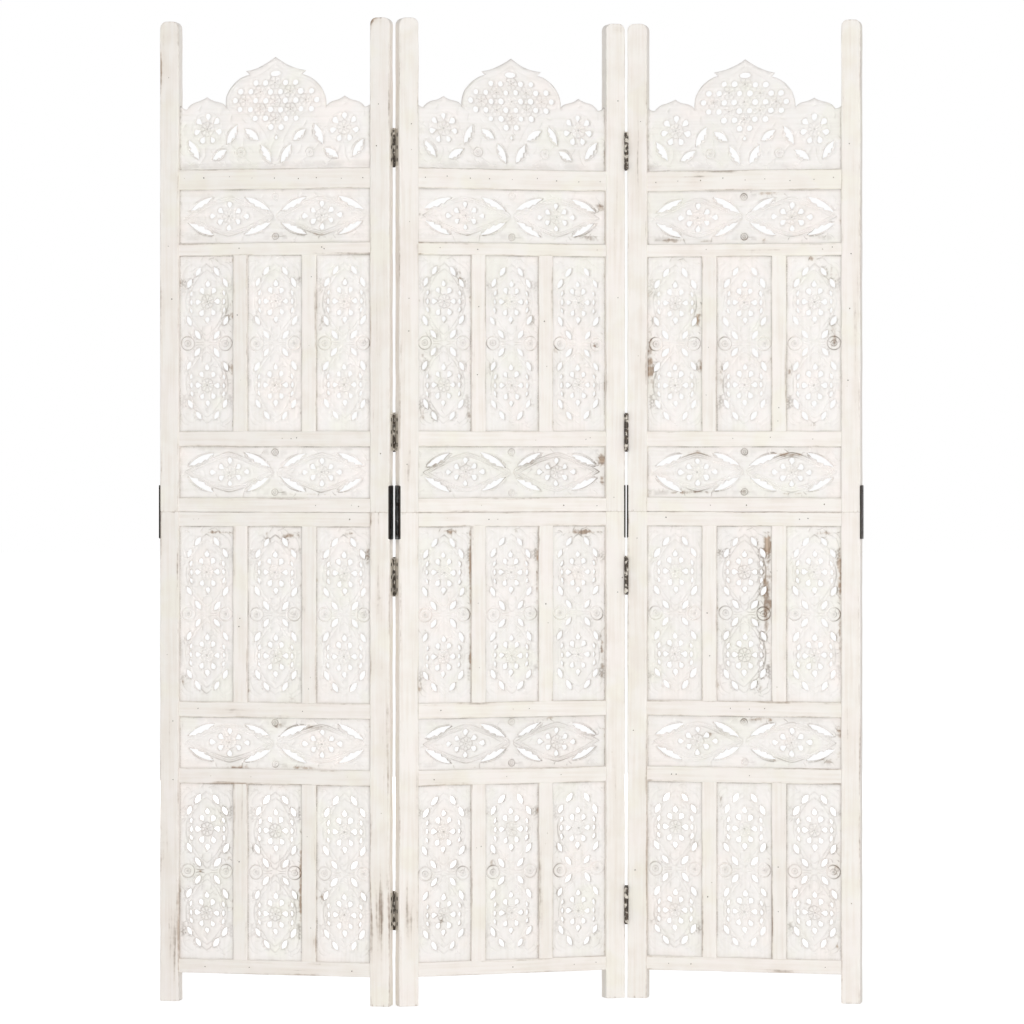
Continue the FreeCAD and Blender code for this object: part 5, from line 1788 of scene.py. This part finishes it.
def eased_copy(node):
    """A node's shape with its sharp edges rounded."""
    shape = bmesh.new()
    shape.from_mesh(frame["nodes"][node].data)
    bmesh.ops.remove_doubles(shape, verts=shape.verts, dist=0.001 * MM)
    bmesh.ops.dissolve_limit(shape, angle_limit=math.radians(1), verts=shape.verts, edges=shape.edges)
    sharp = [edge for edge in shape.edges if edge.calc_face_angle(0) > IRON_SHARP]
    bmesh.ops.bevel(
        shape, geom=sharp, offset=IRON_EASE, segments=2, profile=0.5, affect="EDGES", clamp_overlap=True
    )
    mesh = bpy.data.meshes.new(f"{node}_iron")
    shape.to_mesh(mesh)
    shape.free()
    return mesh


def make_iron(panel, node, material, reshape=None):
    """Shows an eased copy of an iron node in its own place, reshaped in its panel's millimetres."""
    mesh = eased_copy(node)
    mesh.materials.clear()
    mesh.materials.append(material)
    mesh.transform(poses[panel].inverted())
    if reshape:
        reshape(mesh)
    show(mesh, f"{node}_iron", panel, [node], poses[panel])
    print(f"{node}: {len(mesh.polygons)} faces")


def let_in(mesh):
    """Widens plates past the stile's faces, thickens them and sinks their backs into the wood."""
    for vertex in mesh.vertices:
        x, y, _ = vertex.co
        share = min(max((abs(y) - SPREAD_FROM) / SPREAD_OVER, 0), 1)
        vertex.co.y += math.copysign(PLATE_SPREAD * share, y)
        backward = abs(x) < PANEL_WIDTH / 2 + IRON_EASE / MM
        vertex.co.x += math.copysign(1, x) * (-PLATE_SINK if backward else PLATE_PROUD)


def brush_over(mesh):
    """Marks the part of a hinge leaf that the whitewash brush reached."""
    through = np.array([vertex.co.y for vertex in mesh.vertices])
    knuckle = math.copysign(1, through[np.abs(through).argmax()])
    reach = STILE_THICKNESS / 2 - knuckle * through
    store_layers(mesh, {"brushed": np.clip((reach - BRUSH_FROM) / BRUSH_OVER, 0, 1)})


for panel in PANELS:
    make_iron(panel, f"{panel}_joining_plates", plate_iron, let_in)
for line in ("left", "right"):
    make_iron(line, f"{line}_hinge_outer_leaves", hinge_iron, brush_over)
    make_iron("middle", f"{line}_hinge_inner_leaves", hinge_iron, brush_over)
    make_iron(line, f"{line}_hinge_pins", hinge_iron)

# %% [markdown]
# The same slotted wood screw is driven seventy-two times, each to its own angle. Geometry Nodes
# build one from cones and a cube and set a copy on every point, with the slot's angle at random.

# %% Geometry Nodes: slotted screws
SCREW_FACE = PANEL_WIDTH / 2 + 1.8
SCREW_HEAD = 3.3
SCREW_SHANK = 1.7
SCREW_SINK = 1.8
SCREW_LENGTH = 16.0
SCREW_TIP = 0.2
HEAD_SIDES, SHANK_SIDES = 20, 10
SLOT_WIDTH = 0.8
SLOT_DEPTH = 0.8
PLATE_SCREWS = (-34.0, -14.0, 14.0, 34.0)
HINGE_MIDDLES = (158.0, 716.0, 958.0, 1434.0)
HINGE_SCREWS = (-21.0, 0.0, 21.0)


def screw_tree():
    """The tree that sets a slotted screw on every point, facing its outward side."""
    sizes = ("Head radius", "Head height", "Shank radius", "Length", "Slot width", "Slot depth")
    inputs = [("Points", "NodeSocketGeometry")] + [(size, "NodeSocketFloat") for size in sizes]
    inputs += [("Seed", "NodeSocketInt"), ("Finish", "NodeSocketMaterial")]
    tree, given, sockets = node_tree("slotted screws", inputs)
    head = add(
        tree, "GeometryNodeMeshCone",
        {"Vertices": HEAD_SIDES, "Radius Top": given["Head radius"],
         "Radius Bottom": given["Shank radius"], "Depth": given["Head height"]},
    ).outputs["Mesh"]
    shank = add(
        tree, "GeometryNodeMeshCone",
        {"Vertices": SHANK_SIDES, "Radius Top": given["Shank radius"],
         "Radius Bottom": SCREW_TIP, "Depth": given["Length"]},
    ).outputs["Mesh"]
    deep = add(tree, "ShaderNodeMath", {0: given["Slot depth"], 1: 2.0}, operation="MULTIPLY").outputs[0]
    wide = add(tree, "ShaderNodeMath", {0: given["Head radius"], 1: 3.0}, operation="MULTIPLY").outputs[0]
    slot_size = add(tree, "ShaderNodeCombineXYZ", {"X": wide, "Y": given["Slot width"], "Z": deep}).outputs[0]
    slot = add(tree, "GeometryNodeMeshCube", {"Size": slot_size}).outputs["Mesh"]
    slot_place = add(tree, "ShaderNodeCombineXYZ", {"Z": given["Head height"]}).outputs[0]
    slot = add(
        tree, "GeometryNodeTransform", {"Geometry": slot, "Translation": slot_place}
    ).outputs[0]
    slotted = add(
        tree, "GeometryNodeMeshBoolean", {"Mesh 1": head, "Mesh 2": slot},
        operation="DIFFERENCE", solver="MANIFOLD",
    ).outputs[0]
    sunk = add(tree, "ShaderNodeMath", {0: 0.0, 1: given["Length"]}, operation="SUBTRACT").outputs[0]
    shank_place = add(tree, "ShaderNodeCombineXYZ", {"Z": sunk}).outputs[0]
    shank = add(tree, "GeometryNodeTransform", {"Geometry": shank, "Translation": shank_place}).outputs[0]
    screw = add(tree, "GeometryNodeJoinGeometry")
    tree.links.new(slotted, screw.inputs[0])
    tree.links.new(shank, screw.inputs[0])
    back = add(tree, "ShaderNodeMath", {0: 0.0, 1: given["Head height"]}, operation="SUBTRACT").outputs[0]
    seat = add(tree, "ShaderNodeCombineXYZ", {"Z": back}).outputs[0]
    seated = add(
        tree, "GeometryNodeTransform", {"Geometry": screw.outputs[0], "Translation": seat}
    ).outputs[0]
    outward = add(
        tree, "GeometryNodeInputNamedAttribute", {"Name": "outward"}, data_type="FLOAT"
    ).outputs[0]
    tilt = add(tree, "ShaderNodeMath", {0: outward, 1: math.pi / 2}, operation="MULTIPLY").outputs[0]
    facing = add(tree, "ShaderNodeCombineXYZ", {"Y": tilt}).outputs[0]
    facing = add(tree, "FunctionNodeEulerToRotation", {0: facing}).outputs[0]
    angle = add(
        tree, "FunctionNodeRandomValue", {2: 0.0, 3: math.pi, "Seed": given["Seed"]}, data_type="FLOAT"
    ).outputs[1]
    spin = add(tree, "ShaderNodeCombineXYZ", {"Z": angle}).outputs[0]
    spin = add(tree, "FunctionNodeEulerToRotation", {0: spin}).outputs[0]
    turned = add(
        tree, "FunctionNodeRotateRotation", {0: facing, 1: spin}, rotation_space="LOCAL"
    ).outputs[0]
    driven = add(
        tree, "GeometryNodeInstanceOnPoints",
        {"Points": given["Points"], "Instance": seated, "Rotation": turned},
    ).outputs[0]
    finish_tree(tree, driven, given["Finish"])
    return tree, sockets


SCREWS, SCREW_SOCKETS = screw_tree()


def make_screws(panel, node, places):
    """Screws of one node, at heights on the left or right edge of a panel."""
    points = bpy.data.meshes.new(f"{node}_points")
    points.from_pydata([(side * SCREW_FACE, 0, height) for side, height in places], [], [])
    store_layers(points, {"outward": np.array([float(side) for side, _ in places])})
    values = {
        "Head radius": SCREW_HEAD,
        "Head height": SCREW_SINK,
        "Shank radius": SCREW_SHANK,
        "Length": SCREW_LENGTH - SCREW_SINK,
        "Slot width": SLOT_WIDTH,
        "Slot depth": SLOT_DEPTH,
        "Seed": tree_seed(node),
        "Finish": screw_iron,
    }
    mesh = grown(points, SCREWS, SCREW_SOCKETS, values)
    show(mesh, f"{node}_iron", panel, [node], poses[panel])
    print(f"{node}: {len(places)} screws")


for panel in PANELS:
    places = [(side, SEAM + z) for side in (-1, 1) for z in PLATE_SCREWS]
    make_screws(panel, f"{panel}_plate_screws", places)
for line, outer_side in (("left", 1), ("right", -1)):
    heights = [middle + step for middle in HINGE_MIDDLES for step in HINGE_SCREWS]
    make_screws(line, f"{line}_hinge_outer_screws", [(outer_side, z) for z in heights])
    make_screws("middle", f"{line}_hinge_inner_screws", [(-outer_side, z) for z in heights])

# %% [markdown]
# Thin headed nails pin the tenons and hold the boards: a row of them in the crest rail and a few
# in every other bar. Their places are drawn at random with a fixed seed, as nobody measured
# them, and Geometry Nodes set a small flat cone on each.

# %% Geometry Nodes: nail heads
NAIL_RADIUS = 0.9
NAIL_HEIGHT = 0.5
NAIL_TOP_SHARE = 0.7
NAIL_SIDES = 8
NAIL_SPREAD = 0.3
CREST_NAILS = 9
RAIL_NAILS = 3
MUNTIN_NAILS = 2
STILE_NAILS = 6
RAIL_END, MUNTIN_END, HORN_END = 12.0, 15.0, 60.0
RAIL_STRAY = (3.0, 1.5)
MUNTIN_STRAY = 3.0
STILE_STRAY = 5.0


def nail_tree():
    """The tree that sets a nail head on every point, facing the front."""
    sizes = ("Radius", "Height", "Size spread")
    inputs = [("Points", "NodeSocketGeometry")] + [(size, "NodeSocketFloat") for size in sizes]
    inputs += [("Seed", "NodeSocketInt"), ("Finish", "NodeSocketMaterial")]
    tree, given, sockets = node_tree("nail heads", inputs)
    top = add(
        tree, "ShaderNodeMath", {0: given["Radius"], 1: NAIL_TOP_SHARE}, operation="MULTIPLY"
    ).outputs[0]
    head = add(
        tree, "GeometryNodeMeshCone",
        {"Vertices": NAIL_SIDES, "Radius Top": top, "Radius Bottom": given["Radius"],
         "Depth": given["Height"]},
    ).outputs["Mesh"]
    least = add(tree, "ShaderNodeMath", {0: 1.0, 1: given["Size spread"]}, operation="SUBTRACT").outputs[0]
    most = add(tree, "ShaderNodeMath", {0: 1.0, 1: given["Size spread"]}, operation="ADD").outputs[0]
    size = add(
        tree, "FunctionNodeRandomValue", {2: least, 3: most, "Seed": given["Seed"]}, data_type="FLOAT"
    ).outputs[1]
    facing = add(tree, "FunctionNodeEulerToRotation", {0: (math.pi / 2, 0, 0)}).outputs[0]
    driven = add(
        tree, "GeometryNodeInstanceOnPoints",
        {"Points": given["Points"], "Instance": head, "Rotation": facing, "Scale": size},
    ).outputs[0]
    finish_tree(tree, driven, given["Finish"])
    return tree, sockets


def nail_places(panel):
    """Nails of one panel: in every rail, muntin and stile, on the front."""
    draw = np.random.default_rng(seed_of(f"{panel}_nails"))
    half = OPENING / 2 - RAIL_END
    places = []
    for section in COURSES:
        courses = stack(section)
        for index, (kind, bottom, top) in enumerate(courses):
            middle = (bottom + top) / 2
            if kind == "rail":
                under_crest = courses[-1][0] == "crest_board" and index == len(courses) - 2
                if under_crest:
                    spots = np.linspace(-half, half, CREST_NAILS)
                else:
                    spots = draw.uniform(-half, half, RAIL_NAILS)
                for spot in spots:
                    x = spot + draw.normal(0, RAIL_STRAY[0])
                    places.append((x, -RAIL_THICKNESS / 2, middle + draw.normal(0, RAIL_STRAY[1])))
            elif kind.endswith("tall_boards"):
                for side in (-1, 1):
                    heights = draw.uniform(bottom + MUNTIN_END, top - MUNTIN_END, MUNTIN_NAILS)
                    across = side * TALL_PITCH / 2 + draw.normal(0, MUNTIN_STRAY, MUNTIN_NAILS)
                    places += [(x, -MUNTIN_THICKNESS / 2, z) for x, z in zip(across, heights)]
    for side in (-1, 1):
        heights = draw.uniform(LEG_HEIGHT, STILE_TOP - HORN_END, STILE_NAILS)
        across = side * STILE_MIDDLE + draw.normal(0, STILE_STRAY, STILE_NAILS)
        places += [(x, -STILE_THICKNESS / 2, z) for x, z in zip(across, heights)]
    return places


NAILS, NAIL_SOCKETS = nail_tree()
for panel in PANELS:
    places = nail_places(panel)
    points = bpy.data.meshes.new(f"{panel}_nail_points")
    points.from_pydata(places, [], [])
    values = {
        "Radius": NAIL_RADIUS,
        "Height": NAIL_HEIGHT,
        "Size spread": NAIL_SPREAD,
        "Seed": tree_seed(panel),
        "Finish": nail_iron,
    }
    mesh = grown(points, NAILS, NAIL_SOCKETS, values)
    nailed = [f"{panel}_{section}_{kind}" for section in COURSES for kind in ("rails", "muntins")]
    show(mesh, f"{panel}_nails", panel, nailed, poses[panel])
    print(f"{panel} panel: {len(places)} nails")

# %% [markdown]
# The picture's light is a bright, even studio: white all round, a long soft box in front, a
# little to the right, and a slightly weaker one behind, to the left. Both stand low, because the
# picture is a little brighter at the feet than at the top. The floor and the world are white to
# the camera, so nothing but the screen and its faint shadow shows, and the light on the wood
# stays plain.

# %% Floor, world and lamps
FLOOR_REACH = 30.0
AMBIENT = 0.64
KEY_WATTS = 106.0
KEY_PLACE = Vector((0.9, -5.0, 0.5))
FILL_WATTS = 92.0
FILL_PLACE = Vector((-0.9, 5.0, 0.5))
LAMP_WIDTH = 3.0
LAMP_HEIGHT = 0.8
AIM = Vector((0.0, 0.0, 0.85))
FLOOR_COLOUR = "#F4F4F4"
FLOOR_ROUGHNESS = 0.9
FLOOR_GLOW = 0.6
FLOOR_GLOW_LEVEL = 1.3


def seen_directly(tree):
    """One for rays from the camera, off metal or through a gap, none for rays that light the wood."""
    path = add(tree, "ShaderNodeLightPath").outputs
    seen = path["Is Camera Ray"]
    for other in ("Is Glossy Ray", "Is Transmission Ray"):
        seen = add(tree, "ShaderNodeMath", {0: seen, 1: path[other]}, operation="MAXIMUM").outputs[0]
    return seen


def make_floor():
    """A wide pale floor, lit by the lamps and helped to white where the camera sees it."""
    mesh = bpy.data.meshes.new("floor")
    corners = [(-1, -1), (1, -1), (1, 1), (-1, 1)]
    mesh.from_pydata([(x * FLOOR_REACH, y * FLOOR_REACH, 0) for x, y in corners], [], [(0, 1, 2, 3)])
    material, tree, shader = new_material("white studio paper")
    shader.inputs["Base Color"].default_value = colour(FLOOR_COLOUR)
    shader.inputs["Roughness"].default_value = FLOOR_ROUGHNESS
    glow = add(tree, "ShaderNodeEmission", {"Color": (1, 1, 1, 1), "Strength": FLOOR_GLOW_LEVEL}).outputs[0]
    share = add(
        tree, "ShaderNodeMath", {0: seen_directly(tree), 1: FLOOR_GLOW}, operation="MULTIPLY"
    ).outputs[0]
    mixed = add(tree, "ShaderNodeMixShader", {0: share, 1: shader.outputs[0], 2: glow}).outputs[0]
    tree.links.new(mixed, tree.nodes["Material Output"].inputs["Surface"])
    mesh.materials.append(material)
    floor = new_object("floor", mesh)


def make_world():
    """White to the camera and in reflections, a plain level for the light on the wood."""
    world = bpy.data.worlds.new("studio")
    world.use_nodes = True
    tree = world.node_tree
    level = add(
        tree, "ShaderNodeMath", {0: seen_directly(tree), 1: 1 - AMBIENT, 2: AMBIENT}, operation="MULTIPLY_ADD"
    ).outputs[0]
    background = tree.nodes["Background"]
    background.inputs["Color"].default_value = (1, 1, 1, 1)
    tree.links.new(level, background.inputs["Strength"])
    bpy.context.scene.world = world


def make_soft_box(name, place, watts):
    """A long lamp, aimed at the middle of the screen."""
    lamp = bpy.data.lights.new(name, "AREA")
    lamp.shape = "RECTANGLE"
    lamp.size = LAMP_WIDTH
    lamp.size_y = LAMP_HEIGHT
    lamp.energy = watts
    box = new_object(name, lamp)
    box.location = place
    box.rotation_euler = (AIM - place).to_track_quat("-Z", "Y").to_euler()


make_floor()
make_world()
make_soft_box("key", KEY_PLACE, KEY_WATTS)
make_soft_box("fill", FILL_PLACE, FILL_WATTS)
print(f"ambient level {AMBIENT}, key {KEY_WATTS:.0f} W from {tuple(KEY_PLACE)}")

# %% [markdown]
# The picture was taken from far off with a long lens, from a little above the middle of the
# screen, and the lens was shifted so that the uprights stay parallel.

# %% Camera
LENS_MM = 158.2
SENSOR_MM = 36.0
CAMERA_PLACE = (0.0021, -7.575, 0.946)
LENS_SHIFT = -0.0709

view = bpy.data.cameras.new("camera")
view.lens = LENS_MM
view.sensor_width = SENSOR_MM
view.shift_y = LENS_SHIFT
camera = new_object("camera", view)
camera.location = CAMERA_PLACE
camera.rotation_euler = (math.pi / 2, 0, 0)
bpy.context.scene.camera = camera
bpy.context.scene.view_settings.view_transform = "Standard"
print("camera", CAMERA_PLACE, "lens", LENS_MM)
